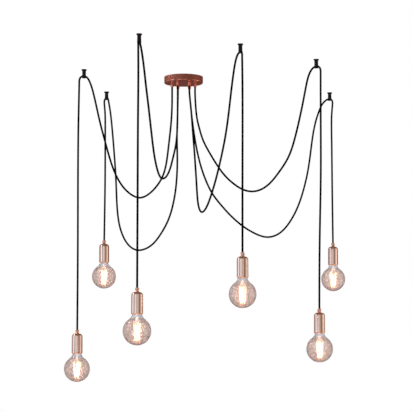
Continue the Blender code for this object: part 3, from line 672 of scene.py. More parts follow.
def turned(outline: Outline, sides: int, closed: bool = False,
           thread: Callable[[float, float, float], float] | None = None) -> Mesh:
    """Turn an outline about the Z axis.

    The mesh gets a surface map, round in turns and along the outline in metres, and a wear value that is high at the
    outline's outer corners.

    Args:
        outline: (radius, height) points. An open outline starts and ends on the axis.
        sides: faces round the axis.
        closed: whether the last point joins the first.
        thread: a function of angle, radius and height that gives the radius of a screw thread.

    Returns:
        The closed mesh.
    """
    points = [(max(r, 0.0), z) for r, z in outline]
    if closed:
        points.append(points[0])
    lengths = [0.0]
    for before, after in zip(points, points[1:]):
        lengths.append(lengths[-1] + math.dist(before, after))
    bm = bmesh.new()
    uv = bm.loops.layers.uv.new(UV_NAME)
    wear = bm.verts.layers.float.new(WEAR_NAME)
    rings = []
    wears = corner_wear(points, closed)
    for (radius, height), rub in zip(points[:-1] if closed else points, wears):
        ring = []
        for side in range(1 if radius == 0 else sides):
            angle = math.tau * side / sides
            r = thread(angle, radius, height) if thread else radius
            vert = bm.verts.new((r * math.cos(angle), r * math.sin(angle), height))
            vert[wear] = rub
            ring.append(vert)
        rings.append(ring)
    if closed:
        rings.append(rings[0])
    for index, (low, high) in enumerate(zip(rings, rings[1:])):
        if len(low) == 1 and len(high) == 1:
            continue
        for side in range(sides):
            after = (side + 1) % sides
            corners = [(low[side % len(low)], side, index), (low[after % len(low)], side + 1, index),
                       (high[after % len(high)], side + 1, index + 1), (high[side % len(high)], side, index + 1)]
            seen, kept = set(), []
            for vert, u, v in corners:
                if vert not in seen:
                    seen.add(vert)
                    kept.append((vert, u, v))
            face = bm.faces.new([vert for vert, _, _ in kept])
            for loop, (_, u, v) in zip(face.loops, kept):
                loop[uv].uv = (u / sides, lengths[v])
    return closed_mesh(bm)


def corner_wear(points: Outline, closed: bool) -> list[float]:
    """Return how far each point of an outline is rubbed, from 0 on a flat run to 1 at a square corner.

    Args:
        points: (radius, height) points.
        closed: whether the last point joins the first.

    Returns:
        A value for each point.
    """
    wears = []
    count = len(points) - 1 if closed else len(points)
    for index in range(count):
        if not closed and index in (0, count - 1):
            wears.append(0.0)
            continue
        before = Vector(points[index]) - Vector(points[index - 1 if index else -2])
        after = Vector(points[index + 1]) - Vector(points[index])
        turn = before.angle(after) if before.length and after.length else 0.0
        wears.append(min(1.0, turn / math.radians(SQUARE_WEAR_DEGREES)))
    return wears


def closed_mesh(bm: bmesh.types.BMesh) -> Mesh:
    """Merge doubles, point the faces outwards and return the mesh."""
    bmesh.ops.remove_doubles(bm, verts=bm.verts, dist=MERGE_DISTANCE)
    bmesh.ops.recalc_face_normals(bm, faces=bm.faces)
    return drawn(bm)


def joined(meshes: list[Mesh]) -> Mesh:
    """Join several closed meshes into one and drop the old ones.

    Args:
        meshes: what is joined.

    Returns:
        The mesh of them all.
    """
    bm = bmesh.new()
    for mesh in meshes:
        bm.from_mesh(mesh)
        bpy.data.meshes.remove(mesh)
    return drawn(bm)


def rod(radius: float, low: float, high: float, sides: int) -> Mesh:
    """Turn a plain rod about the Z axis, between two heights, to cut a hole with."""
    return turned([(0.0, low), (radius, low), (radius, high), (0.0, high)], sides)


def bar(reach: float, width: float, low: float, high: float) -> Mesh:
    """Make a flat bar across the Z axis, between two heights, to cut a screw's slot with."""
    half = width / 2
    return prism([(-reach, -half), (reach, -half), (reach, half), (-reach, half)], low, high)


def prism(corners: Outline, low: float, high: float, chamfer: float = 0.0) -> Mesh:
    """Draw a flat outline up into a prism with chamfered ends.

    Args:
        corners: (x, y) points, anticlockwise.
        low: height of the lower end.
        high: height of the upper end.
        chamfer: how far each end's edge is cut back.

    Returns:
        The closed mesh.
    """
    bm = bmesh.new()
    centre = sum((Vector(c) for c in corners), Vector((0.0, 0.0))) / len(corners)
    levels = [(low, chamfer), (low + chamfer, 0.0), (high - chamfer, 0.0), (high, chamfer)]
    if not chamfer:
        levels = [(low, 0.0), (high, 0.0)]
    rings = []
    for height, cut in levels:
        ring = []
        for corner in corners:
            spot = Vector(corner)
            inward = (centre - spot).normalized() * cut
            ring.append(bm.verts.new((*(spot + inward), height)))
        rings.append(ring)
    for below, above in zip(rings, rings[1:]):
        for index in range(len(corners)):
            after = (index + 1) % len(corners)
            bm.faces.new((below[index], below[after], above[after], above[index]))
    bm.faces.new(rings[0][::-1])
    bm.faces.new(rings[-1])
    return closed_mesh(bm)


def hexagon(across_corners: float, turn: float = 0.0) -> Outline:
    """Return the (x, y) corners of a regular hexagon, turned by an angle in degrees."""
    half = across_corners / 2
    return [(half * math.cos(math.radians(60 * k + turn)), half * math.sin(math.radians(60 * k + turn)))
            for k in range(6)]


def carved(mesh: Mesh, tool: Mesh) -> Mesh:
    """Cut a tool's shape out of a mesh, exactly.

    Args:
        mesh: what is cut; it is dropped afterwards.
        tool: what cuts it; it is dropped too.

    Returns:
        The cut mesh.
    """
    body = linked("carved_body", mesh)
    knife = linked("carving_tool", tool)
    cut = body.modifiers.new("cut", "BOOLEAN")
    cut.operation = "DIFFERENCE"
    cut.solver = "EXACT"
    cut.object = knife
    made = bpy.data.meshes.new_from_object(body.evaluated_get(bpy.context.evaluated_depsgraph_get()))
    discard(body)
    discard(knife)
    return made


def placed(mesh: Mesh, place: Vector, turn: Matrix | None = None) -> Mesh:
    """Turn a mesh about the origin and move it to its place.

    Args:
        mesh: what is moved.
        place: where its origin goes.
        turn: its rotation, if it has one.

    Returns:
        The same mesh.
    """
    mesh.transform(Matrix.Translation(place) @ (turn.to_4x4() if turn else Matrix.Identity(4)))
    return mesh


def piece(name: str, mesh: Mesh, finish: Finish, body: str,
          stands_for: tuple[str, ...] = ()) -> bpy.types.Object:
    """Make a finished piece that rides on a body.

    Args:
        name: the piece's name.
        mesh: its mesh, in its place in the frame.
        finish: what it is made of.
        body: the body that carries it.
        stands_for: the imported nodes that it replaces.

    Returns:
        The object.
    """
    made = unattached_piece(name, mesh, finish)
    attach(made, body)
    if stands_for:
        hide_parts(*stands_for)
    return made


def unattached_piece(name: str, mesh: Mesh, finish: Finish) -> bpy.types.Object:
    """Make a finished piece that rides on nothing yet, with its material and smooth faces.

    Args:
        name: the piece's name.
        mesh: its mesh, in its place in the frame.
        finish: what it is made of.

    Returns:
        The object.
    """
    mesh.name = name
    mesh.materials.clear()
    mesh.materials.append(finish.material())
    mesh.shade_smooth()
    mesh.set_sharp_from_angle(angle=math.radians(SHARP_DEGREES))
    made = linked(name, mesh)
    LOG.info("%s: %d faces", name, len(mesh.polygons))
    return made


# Trees that grow what repeats


class Growth:
    """A geometry tree with named inputs, run once to give a plain mesh."""

    def __init__(self, name: str, sizes: dict[str, int | float]) -> None:
        """Start a tree with one named input for each size.

        Args:
            name: the tree's name.
            sizes: input name to its value, a whole number or a length.
        """
        self.tree = bpy.data.node_groups.new(name, "GeometryNodeTree")
        self.sizes = sizes
        self.keys = {}
        for label, value in sizes.items():
            kind = "NodeSocketInt" if isinstance(value, int) else "NodeSocketFloat"
            socket = self.tree.interface.new_socket(name=label, in_out="INPUT", socket_type=kind)
            self.keys[label] = socket.identifier
        self.tree.interface.new_socket(name="Geometry", in_out="OUTPUT", socket_type="NodeSocketGeometry")
        self.entry = self.tree.nodes.new("NodeGroupInput")

    def size(self, label: str) -> Socket:
        """Return the socket of a named input."""
        return self.entry.outputs[label]

    def add(self, kind: str, links: dict | tuple = (), values: dict | tuple = (),
            **settings: object) -> bpy.types.Node:
        """Add a node to the tree and return it."""
        return add_node(self.tree, kind, links, values, **settings)

    def grown(self, geometry: Socket, finish: Finish) -> Mesh:
        """End the tree, run it once and return the plain mesh.

        Args:
            geometry: what the tree has made.
            finish: the material that the tree sets.

        Returns:
            The mesh, with its material.
        """
        real = self.add("GeometryNodeRealizeInstances", {"Geometry": geometry})
        dressed = self.add("GeometryNodeSetMaterial", {"Geometry": real.outputs[0]},
                           {"Material": finish.material()})
        end = self.tree.nodes.new("NodeGroupOutput")
        self.tree.links.new(dressed.outputs[0], end.inputs["Geometry"])
        seed = linked("growth_seed", bpy.data.meshes.new("growth_seed"))
        modifier = seed.modifiers.new("growth", "NODES")
        modifier.node_group = self.tree
        for label, value in self.sizes.items():
            modifier[self.keys[label]] = value
        made = bpy.data.meshes.new_from_object(seed.evaluated_get(bpy.context.evaluated_depsgraph_get()))
        seed.modifiers.remove(modifier)
        discard(seed)
        bpy.data.node_groups.remove(self.tree)
        return made


# Cables


def smooth_line(points: list[Vector], samples: int) -> list[Vector]:
    """Read a natural cubic curve through points.

    Args:
        points: what the curve goes through.
        samples: points read on each stretch.

    Returns:
        The points of the curve.
    """
    knots = np.array([tuple(point) for point in points])
    chords = np.sqrt(np.linalg.norm(np.diff(knots, axis=0), axis=1))
    count = len(knots)
    system = np.eye(count)
    right = np.zeros_like(knots)
    for index in range(1, count - 1):
        before, after = chords[index - 1], chords[index]
        system[index, index - 1:index + 2] = before, 2 * (before + after), after
        right[index] = 6 * ((knots[index + 1] - knots[index]) / after - (knots[index] - knots[index - 1]) / before)
    bend = np.linalg.solve(system, right)
    line = []
    for index in range(count - 1):
        span = chords[index]
        for step in range(samples):
            ahead = span * step / samples
            back = span - ahead
            line.append((bend[index] * back**3 + bend[index + 1] * ahead**3) / (6 * span)
                        + (knots[index] / span - bend[index] * span / 6) * back
                        + (knots[index + 1] / span - bend[index + 1] * span / 6) * ahead)
    line.append(knots[-1])
    return [Vector(point) for point in line]


def line_length(points: list[Vector]) -> float:
    """Return the length of a line of points."""
    return sum((after - before).length for before, after in zip(points, points[1:]))


@dataclass(frozen=True)
class Tube:
    """A round tube along a line, with a surface map that runs on from one stretch to the next."""

    points: list[Vector]
    radius: float
    sides: int = 18

    def frames(self) -> list[tuple[Vector, Vector]]:
        """Return two directions square to the line at each point, carried along it without a twist.

        Returns:
            A pair of directions for each point.
        """
        count = len(self.points)
        ways = [(self.points[min(i + 1, count - 1)] - self.points[max(i - 1, 0)]).normalized() for i in range(count)]
        first = ways[0].orthogonal().normalized()
        found = []
        for before, way in zip([ways[0], *ways], ways):
            first = before.rotation_difference(way) @ first
            first = (first - way * first.dot(way)).normalized()
            found.append((first.copy(), way.cross(first)))
        return found

    def stretch(self, start: int, end: int) -> Mesh:
        """Make the closed mesh of a stretch.

        Args:
            start: number of its first point.
            end: number of its last point.

        Returns:
            The mesh, with its surface map in turns and metres.
        """
        frames = self.frames()
        bm = bmesh.new()
        uv = bm.loops.layers.uv.new(UV_NAME)
        along = line_length(self.points[:start + 1])
        rings, marks = [], []
        for index in range(start, end + 1):
            if index > start:
                along += (self.points[index] - self.points[index - 1]).length
            first, second = frames[index]
            ring = []
            for side in range(self.sides):
                angle = math.tau * side / self.sides
                ring.append(bm.verts.new(self.points[index] + first * (self.radius * math.cos(angle))
                                         + second * (self.radius * math.sin(angle))))
            rings.append(ring)
            marks.append(along)
        for index in range(len(rings) - 1):
            for side in range(self.sides):
                after = (side + 1) % self.sides
                face = bm.faces.new((rings[index][side], rings[index][after], rings[index + 1][after],
                                     rings[index + 1][side]))
                corners = ((side, index), (side + 1, index), (side + 1, index + 1), (side, index + 1))
                for loop, (u, v) in zip(face.loops, corners):
                    loop[uv].uv = (u / self.sides, marks[v])
        for ring, mark in ((rings[0][::-1], marks[0]), (rings[-1], marks[-1])):
            for loop in bm.faces.new(ring).loops:
                loop[uv].uv = (0.0, mark)
        bmesh.ops.recalc_face_normals(bm, faces=bm.faces)
        return drawn(bm, "tube")


def axis_end(node: str, end: int) -> Vector:
    """Return the lower end (0) or the upper end (1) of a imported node's upright middle line."""
    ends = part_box(node)
    return Vector(((ends[0].x + ends[1].x) / 2, (ends[0].y + ends[1].y) / 2, ends[end].z))


@dataclass(frozen=True)
class Cable:
    """One cable: its swag from the rose to the hook, its bend over the hook and its drop to the lampholder.

    The swag's points are (outward from the cord grip towards the hook, height), and the drop's are (outward from the
    axis of the hook, height), in metres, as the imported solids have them. At each end the cable goes a little way into
    its grip: by entry under the rose, and by tilting_entry at the lampholder, whose grip tilts round the cable's end
    and would cut a longer one.
    """

    number: int
    bend_radius: float
    swag: tuple[tuple[float, float], ...]
    drop: tuple[tuple[float, float], ...]
    diameter: float = 6 * MM
    nap: float = 0.65 * MM
    samples: int = 16
    hook_bend_height: float = -25.5 * MM
    entry: float = 2.2 * MM
    tilting_entry: float = 0.9 * MM
    give: float = 70 * MM
    passage_depth: float = 60 * MM
    bend_degrees: tuple[int, ...] = (120, 90, 60, 30, 0)

    @property
    def grip(self) -> Vector:
        """Mouth of the cord grip under the rose."""
        return axis_end(f"rose_cord_grip_{self.number}", 0)

    @property
    def hook(self) -> Vector:
        """Axis of the hook on the ceiling plane."""
        place = axis_end(f"ceiling_hook_{self.number}", 1)
        place.z = 0.0
        return place

    @property
    def holder(self) -> Vector:
        """Top of the lampholder's cord grip."""
        return axis_end(f"holder_cord_grip_{self.number}", 1)

    @property
    def outward(self) -> Vector:
        """Direction on plan from the cord grip to the hook."""
        way = self.hook - self.grip
        way.z = 0.0
        return way.normalized()

    @property
    def hinge(self) -> Vector:
        """Where the drop leaves the bend over the hook."""
        return self.hook + self.outward * self.bend_radius + up(self.hook_bend_height - self.bend_radius)

    def swag_line(self) -> list[Vector]:
        """Return the middle line from inside the rose's cord grip to the hinge.

        Returns:
            The points of the line.
        """
        start, out = self.grip, self.outward
        ceiling = Vector((start.x, start.y, 0.0))
        route = [start, start - up(self.diameter)]
        route += [ceiling + out * along + up(height) for along, height in self.swag]
        centre = self.hook + up(self.hook_bend_height - self.bend_radius)
        for degrees in self.bend_degrees:
            angle = math.radians(degrees)
            route.append(centre + out * (self.bend_radius * math.cos(angle)) + up(self.bend_radius * math.sin(angle)))
        return [start + up(self.entry), *smooth_line(route, self.samples)]

    def drop_line(self) -> list[Vector]:
        """Return the middle line from the hinge to inside the lampholder's cord grip.

        Returns:
            The points of the line.
        """
        top, bottom = self.hinge, self.holder
        route = [top, top - up(self.diameter)]
        route += [self.hook + self.outward * along + up(height) for along, height in self.drop]
        route += [bottom + up(self.diameter), bottom]
        return [*smooth_line(route, self.samples), bottom - up(self.tilting_entry)]

    def passage(self, radius: float, reach: float) -> Mesh:
        """Return a tube round the cable near the hook, to cut the hook's passage.

        Args:
            radius: radius of the passage.
            reach: how far from the axis of the hook it runs.

        Returns:
            The closed mesh.
        """
        near = [point for point in self.swag_line()
                if (point.xy - self.hook.xy).length < reach and point.z > -self.passage_depth]
        return Tube(near, radius, 24).stretch(0, len(near) - 1)

    def build(self) -> None:
        """Make the swag and the drop."""
        swag, drop = self.swag_line(), self.drop_line()
        tube = Tube([*swag, *drop[1:]], self.diameter / 2 + self.nap)
        joint = len(swag) - 1
        hung = unattached_piece(f"swag_cable_{self.number}", tube.stretch(0, joint), CABLE_BRAID)
        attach(hung, "rose")
        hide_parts(f"swag_cord_{self.number}")
        fall = unattached_piece(f"drop_cable_{self.number}", tube.stretch(joint, len(tube.points) - 1), CABLE_BRAID)
        self.hinge
        self.hinge - up(self.give)
        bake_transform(fall)
        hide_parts(f"drop_cord_{self.number}")
        self.hinge
        LOG.info("cable %d: %.3f m in all", self.number, line_length(swag) + line_length(drop))


CABLES = (
    Cable(1, 19 * MM,
          swag=((0.000, -0.062), (0.000, -0.100), (0.003, -0.167), (0.009, -0.226), (0.016, -0.284),
                (0.024, -0.338), (0.038, -0.385), (0.062, -0.424), (0.094, -0.456), (0.130, -0.473),
                (0.164, -0.465), (0.196, -0.441), (0.220, -0.410), (0.240, -0.372), (0.257, -0.326),
                (0.278, -0.258), (0.296, -0.196), (0.310, -0.140), (0.322, -0.093), (0.333, -0.058),
                (0.344, -0.036)),
          drop=((0.0200, -0.130), (0.0212, -0.250), (0.0210, -0.400), (0.0200, -0.560), (0.0190, -0.780))),
    Cable(2, 13.3 * MM,
          swag=((0.000, -0.062), (0.001, -0.100), (0.003, -0.160), (0.005, -0.220), (0.004, -0.275),
                (0.003, -0.320), (0.005, -0.372), (0.012, -0.430), (0.028, -0.492), (0.053, -0.546),
                (0.088, -0.590), (0.130, -0.627), (0.177, -0.647), (0.228, -0.649), (0.277, -0.624),
                (0.313, -0.577), (0.333, -0.522), (0.343, -0.450), (0.349, -0.360), (0.361, -0.245),
                (0.374, -0.145), (0.385, -0.080), (0.394, -0.043)),
          drop=((0.0090, -0.080), (0.0068, -0.150), (0.0058, -0.280), (0.0062, -0.430))),
    Cable(3, 15.96 * MM,
          swag=((0.000, -0.062), (0.000, -0.110), (0.003, -0.170), (0.012, -0.222), (0.030, -0.262),
                (0.056, -0.293), (0.088, -0.322), (0.124, -0.353), (0.165, -0.384), (0.232, -0.418),
                (0.300, -0.436), (0.358, -0.439), (0.412, -0.424), (0.458, -0.396), (0.497, -0.358),
                (0.553, -0.280), (0.602, -0.209), (0.638, -0.161), (0.670, -0.113), (0.702, -0.071),
                (0.729, -0.044), (0.747, -0.0325)),
          drop=((0.0125, -0.130), (0.0150, -0.300), (0.0158, -0.500), (0.0165, -0.700))),
    Cable(4, 19 * MM,
          swag=((0.002, -0.064), (0.009, -0.092), (0.023, -0.132), (0.037, -0.184), (0.051, -0.240),
                (0.067, -0.300), (0.081, -0.360), (0.094, -0.420), (0.104, -0.470), (0.121, -0.515),
                (0.154, -0.541), (0.200, -0.539), (0.245, -0.517), (0.286, -0.486), (0.330, -0.446),
                (0.369, -0.404), (0.408, -0.356), (0.449, -0.296), (0.479, -0.236), (0.502, -0.179),
                (0.523, -0.127), (0.543, -0.084), (0.566, -0.048), (0.591, -0.031)),
          drop=((0.0215, -0.120), (0.0222, -0.260), (0.0208, -0.400), (0.0190, -0.560))),
    Cable(5, 19 * MM,
          swag=((0.000, -0.062), (0.002, -0.100), (0.009, -0.158), (0.021, -0.201), (0.038, -0.246),
                (0.060, -0.284), (0.086, -0.322), (0.117, -0.363), (0.148, -0.397), (0.185, -0.427),
                (0.228, -0.452), (0.272, -0.463), (0.315, -0.458), (0.357, -0.436), (0.396, -0.400),
                (0.429, -0.362), (0.453, -0.320), (0.474, -0.262), (0.489, -0.212), (0.505, -0.152),
                (0.518, -0.099), (0.530, -0.059), (0.544, -0.036)),
          drop=((0.0185, -0.110), (0.0178, -0.250), (0.0165, -0.420), (0.0120, -0.580), (0.0080, -0.740))),
    Cable(6, 13.3 * MM,
          swag=((0.001, -0.062), (0.006, -0.110), (0.014, -0.172), (0.024, -0.232), (0.036, -0.288),
                (0.053, -0.345), (0.074, -0.395), (0.101, -0.441), (0.139, -0.483), (0.184, -0.524),
                (0.235, -0.560), (0.286, -0.585), (0.340, -0.598), (0.386, -0.588), (0.423, -0.562),
                (0.458, -0.519), (0.488, -0.465), (0.510, -0.408), (0.529, -0.342), (0.543, -0.270),
                (0.556, -0.188), (0.570, -0.127), (0.585, -0.085), (0.601, -0.053), (0.619, -0.034)),
          drop=((0.0090, -0.090), (0.0078, -0.180), (0.0084, -0.320), (0.0090, -0.460))),
)


# Rose


@dataclass(frozen=True)
class Rose:
    """The copper dish on the ceiling and what is fixed inside it."""

    radius: float = 74.3 * MM
    height: float = 25 * MM
    wall: float = 1.2 * MM
    edge: float = 3 * MM
    gap: float = 0.3 * MM
    hole: float = 5 * MM
    side_hole: float = 2.3 * MM
    side_screw_radius: float = 2 * MM
    side_screw_length: float = 6.5 * MM
    side_screw_depth: float = 9 * MM
    side_screw_turn: float = 35.0
    slot_width: float = 0.6 * MM
    slot_depth: float = 1.0 * MM
    earth_head: float = 2.8 * MM
    poles: int = 3
    pole_pitch: float = 11 * MM
    clamp_rows: float = 9.4 * MM
    clamp_radius: float = 2.1 * MM
    clamp_height: float = 1.4 * MM
    clamp_rise: float = 0.1 * MM
    overrun: float = 2 * MM
    sides: int = 128

    def cover_mesh(self) -> Mesh:
        """Turn the dish and cut the holes for the cord grips and the side screws.

        Returns:
            The closed mesh.
        """
        inner = self.radius - self.wall
        floor = -self.height + self.wall
        outline = rounded([
            (0.0, -self.height), (self.radius * 0.5, -self.height),
            Bend(self.radius, -self.height, self.edge, 8), Bend(self.radius, -self.gap, 0.4 * MM, 3),
            Bend(inner, -self.gap, 0.4 * MM, 3), Bend(inner, floor, self.edge - self.wall, 6),
            (self.radius * 0.5, floor), (0.0, floor),
        ])
        tools = []
        for cable in CABLES:
            drill = rod(self.hole, -self.height - self.overrun, floor + self.overrun, 32)
            tools.append(placed(drill, Vector((cable.grip.x, cable.grip.y, 0.0))))
        for side in (-1, 1):
            drill = rod(self.side_hole, inner - self.overrun, self.radius + self.overrun, 24)
            tools.append(placed(drill, up(-self.side_screw_depth), Matrix.Rotation(side * math.pi / 2, 3, "Y")))
        return carved(turned(outline, self.sides), joined(tools))

    def side_screw_mesh(self, side: int) -> Mesh:
        """Make one slotted headless screw.

        Args:
            side: -1 on the left and 1 on the right.

        Returns:
            The closed mesh.
        """
        outer = self.radius - self.gap
        outline = rounded([(0.0, outer - self.side_screw_length),
                           Bend(self.side_screw_radius, outer - self.side_screw_length, 0.3 * MM, 2),
                           Bend(self.side_screw_radius, outer, 0.3 * MM, 3), (0.0, outer)])
        slot = bar(self.side_screw_radius + self.overrun, self.slot_width, outer - self.slot_depth,
                   outer + self.overrun)
        screw = carved(turned(outline, 32), slot)
        spin = Matrix.Rotation(math.radians(self.side_screw_turn * side), 3, "Z")
        return placed(screw, up(-self.side_screw_depth), Matrix.Rotation(side * math.pi / 2, 3, "Y") @ spin)

    def earth_screw_mesh(self) -> Mesh:
        """Make the pan-head earth screw with its crossed slot, under the strap.

        Returns:
            The closed mesh.
        """
        low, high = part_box("earth_screw")
        head_radius = (high.x - low.x) / 2
        head_top = low.z + self.earth_head
        outline = rounded([
            (0.0, low.z), Bend(head_radius, low.z, 1.4 * MM, 6), Bend(head_radius, head_top, 0.2 * MM, 2),
            (head_radius / 2, head_top), (head_radius / 2, high.z), (0.0, high.z),
        ])
        bars = [bar(head_radius * 0.62, self.slot_width, low.z - self.overrun, low.z + self.slot_depth)
                for _ in range(2)]
        bars[1].transform(Matrix.Rotation(math.pi / 2, 4, "Z"))
        screw = carved(carved(turned(outline, 40), bars[0]), bars[1])
        middle = (low + high) / 2
        return placed(screw, Vector((middle.x, middle.y, 0.0)))

    def terminal_screws_mesh(self) -> Mesh:
        """Grow two rows of clamping screws on the towers of the terminal block.

        Returns:
            The closed mesh.
        """
        low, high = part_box("terminal_block")
        growth = Growth("terminal_screws", {"Poles": self.poles, "Pitch": self.pole_pitch, "Row": self.clamp_rows,
                                            "Screw Radius": self.clamp_radius, "Screw Height": self.clamp_height})
        across = growth.add("GeometryNodeMeshLine", {"Count": growth.size("Poles")}, mode="OFFSET", count_mode="TOTAL")
        pitch = growth.add("ShaderNodeCombineXYZ", (growth.size("Pitch"), 0.0, 0.0))
        growth.tree.links.new(pitch.outputs[0], across.inputs["Offset"])
        rows = growth.add("GeometryNodeMeshLine", values={"Count": 2}, mode="OFFSET", count_mode="TOTAL")
        gap = growth.add("ShaderNodeCombineXYZ", (0.0, growth.size("Row"), 0.0))
        growth.tree.links.new(gap.outputs[0], rows.inputs["Offset"])
        screw = growth.add("GeometryNodeMeshCylinder", {"Radius": growth.size("Screw Radius"),
                                                        "Depth": growth.size("Screw Height")}, {"Vertices": 20})
        pair = growth.add("GeometryNodeInstanceOnPoints", {"Points": rows.outputs[0], "Instance": screw.outputs[0]})
        field = growth.add("GeometryNodeInstanceOnPoints", {"Points": across.outputs[0],
                                                            "Instance": pair.outputs[0]})
        mesh = growth.grown(field.outputs[0], SCREW_BRASS)
        corner = Vector(((low.x + high.x) / 2 - self.pole_pitch * (self.poles - 1) / 2,
                         (low.y + high.y) / 2 - self.clamp_rows / 2, low.z + self.clamp_rise))
        return placed(mesh, corner)

    def build(self) -> None:
        """Make the cover, the screws and the terminal screws, and finish the strap and the terminal block."""
        piece("rose_dish", self.cover_mesh(), ROSE_COPPER, "rose", ("rose_cover",))
        for side, word in ((-1, "left"), (1, "right")):
            piece(f"rose_side_screw_{word}", self.side_screw_mesh(side), PLATED_STEEL, "rose",
                  (f"side_screw_{word}",))
        piece("rose_earth_screw", self.earth_screw_mesh(), SCREW_BRASS, "rose", ("earth_screw",))
        piece("terminal_clamp_screws", self.terminal_screws_mesh(), SCREW_BRASS, "rose")
        for node, finish in (("mounting_bracket", PLATED_STEEL), ("terminal_block", TERMINAL_NYLON)):
            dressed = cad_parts[node]
            dressed.data.materials.clear()
            dressed.data.materials.append(finish.material())


@dataclass(frozen=True)
class RoseCordGrip:
    """A turned cord grip under the rose, with its lock nut inside and a small black set screw in its side."""

    cable: Cable
    screw_bearing: float
    radius: float = 6 * MM
    length: float = 15.5 * MM
    taper: float = 3.5 * MM
    mouth: float = 4.6 * MM
    bore: float = 3.75 * MM
    stem: float = 4.7 * MM
    groove: float = 0.35 * MM
    nut_corners: float = 14.2 * MM
    nut_height: float = 3.5 * MM
    wall: float = 1.2 * MM
    gap: float = 0.3 * MM
    screw_radius: float = 1.3 * MM
    screw_rise: float = 4.6 * MM

    def body_mesh(self) -> Mesh:
        """Turn the body and its stem, and add the lock nut; the mouth of the body is at height 0.

        Returns:
            The closed mesh.
        """
        top = self.length
        nut_low = top + self.gap + self.wall + self.gap
        nut_high = nut_low + self.nut_height
        outline = rounded([
            (0.0, 3.2 * MM), (self.bore, 3.2 * MM), Bend(self.bore, 0.2 * MM, 0.5 * MM, 4),
            Bend(self.mouth, 0.0, 0.35 * MM, 4), Bend(self.radius, self.taper, 0.8 * MM, 4),
            (self.radius, top - 4.2 * MM), (self.radius - self.groove, top - 3.9 * MM),
            (self.radius - self.groove, top - 3.5 * MM), (self.radius, top - 3.2 * MM),
            Bend(self.radius, top, 0.4 * MM, 3), (self.stem, top), (self.stem, nut_high - 0.3 * MM),
            (self.stem - 0.3 * MM, nut_high), (0.0, nut_high),
        ])
        nut = prism(hexagon(self.nut_corners, self.screw_bearing), nut_low, nut_high - 0.4 * MM, 0.35 * MM)
        return joined([turned(outline, 48), carved(nut, rod(self.stem, nut_low - self.wall, nut_high + self.wall, 48))])

    def screw_mesh(self) -> Mesh:
        """Make the set screw, with its hexagonal socket, through the side of the body.

        Returns:
            The closed mesh.
        """
        outer = self.radius + 0.15 * MM
        pin = turned(rounded([(0.0, outer - 2 * MM), (self.screw_radius, outer - 2 * MM),
                              Bend(self.screw_radius, outer, 0.2 * MM, 3), (0.0, outer)]), 24)
        socket = prism(hexagon(1.4 * MM), outer - 0.9 * MM, outer + 1 * MM)
        turn = Matrix.Rotation(math.radians(self.screw_bearing), 3, "Z") @ Matrix.Rotation(math.pi / 2, 3, "Y")
        return placed(carved(pin, socket), up(self.screw_rise), turn)

    def build(self) -> None:
        """Make the grip and its set screw."""
        number = self.cable.number
        piece(f"rose_grip_{number}", placed(self.body_mesh(), self.cable.grip), ROSE_GRIP_COPPER, "rose",
              (f"rose_cord_grip_{number}",))
        piece(f"rose_grip_screw_{number}", placed(self.screw_mesh(), self.cable.grip), SCREW_BLACK, "rose")


@dataclass(frozen=True)
class CeilingHook:
    """A moulded hook with a wide flange on the ceiling and a passage for the cable through its lower end."""

    cable: Cable
    flange: float = 10.2 * MM
    flange_rim: float = 1.9 * MM
    flange_height: float = 6.2 * MM
    neck: float = 6.9 * MM
    foot: float = 7.5 * MM
    height: float = 33 * MM
    passage: float = 3.75 * MM
    passage_reach: float = 15 * MM

    def mesh(self) -> Mesh:
        """Turn the hook and cut the passage along the cable's own bend.

        Returns:
            The closed mesh.
        """
        outline = rounded([
            (0.0, 0.0), Bend(self.flange, 0.0, 0.3 * MM, 3), Bend(self.flange, -self.flange_rim, 0.4 * MM, 3),
            Bend(self.neck, -self.flange_height, 2 * MM, 5), (self.neck + 0.1 * MM, -0.5 * self.height),
            Bend(self.foot, -self.height, 1.2 * MM, 5), (0.0, -self.height),
        ])
        body = placed(turned(outline, 64), self.cable.hook)
        return carved(body, self.cable.passage(self.passage, self.passage_reach))

    def build(self) -> None:
        """Make the hook."""
        number = self.cable.number
        piece(f"hook_{number}", self.mesh(), HOOK_NYLON, "rose", (f"ceiling_hook_{number}",))


# Lampholder


@dataclass(frozen=True)
class ScrewThread:
    """A round-profile screw thread between two heights, fading in and out at its ends.

    It works on the points of a turned outline that are within nearness of the radius reach. A negative depth makes
    the inside thread of a bore.
    """

    low: float
    high: float
    reach: float
    pitch: float = 3.63 * MM
    depth: float = 0.62 * MM
    fade: float = 2.4 * MM
    nearness: float = 0.05 * MM
    ring_step: float = 0.4 * MM

    def __call__(self, angle: float, radius: float, height: float) -> float:
        """Return the radius of the threaded wall at an angle and a height.

        Args:
            angle: where round the axis, in radians.
            radius: radius of the plain wall.
            height: height on the wall.

        Returns:
            The radius there.
        """
        if abs(radius - self.reach) > self.nearness or not self.low < height < self.high:
            return radius
        share = min(1.0, (height - self.low) / self.fade, (self.high - height) / self.fade)
        wave = 0.5 - 0.5 * math.cos(angle + math.tau * height / self.pitch)
        return radius - self.depth * share * wave

    def heights(self) -> list[float]:
        """Return the heights, from the top down, at which the threaded wall needs a ring."""
        count = round((self.high - self.low) / self.ring_step)
        return [self.high - (self.high - self.low) * index / count for index in range(count + 1)]


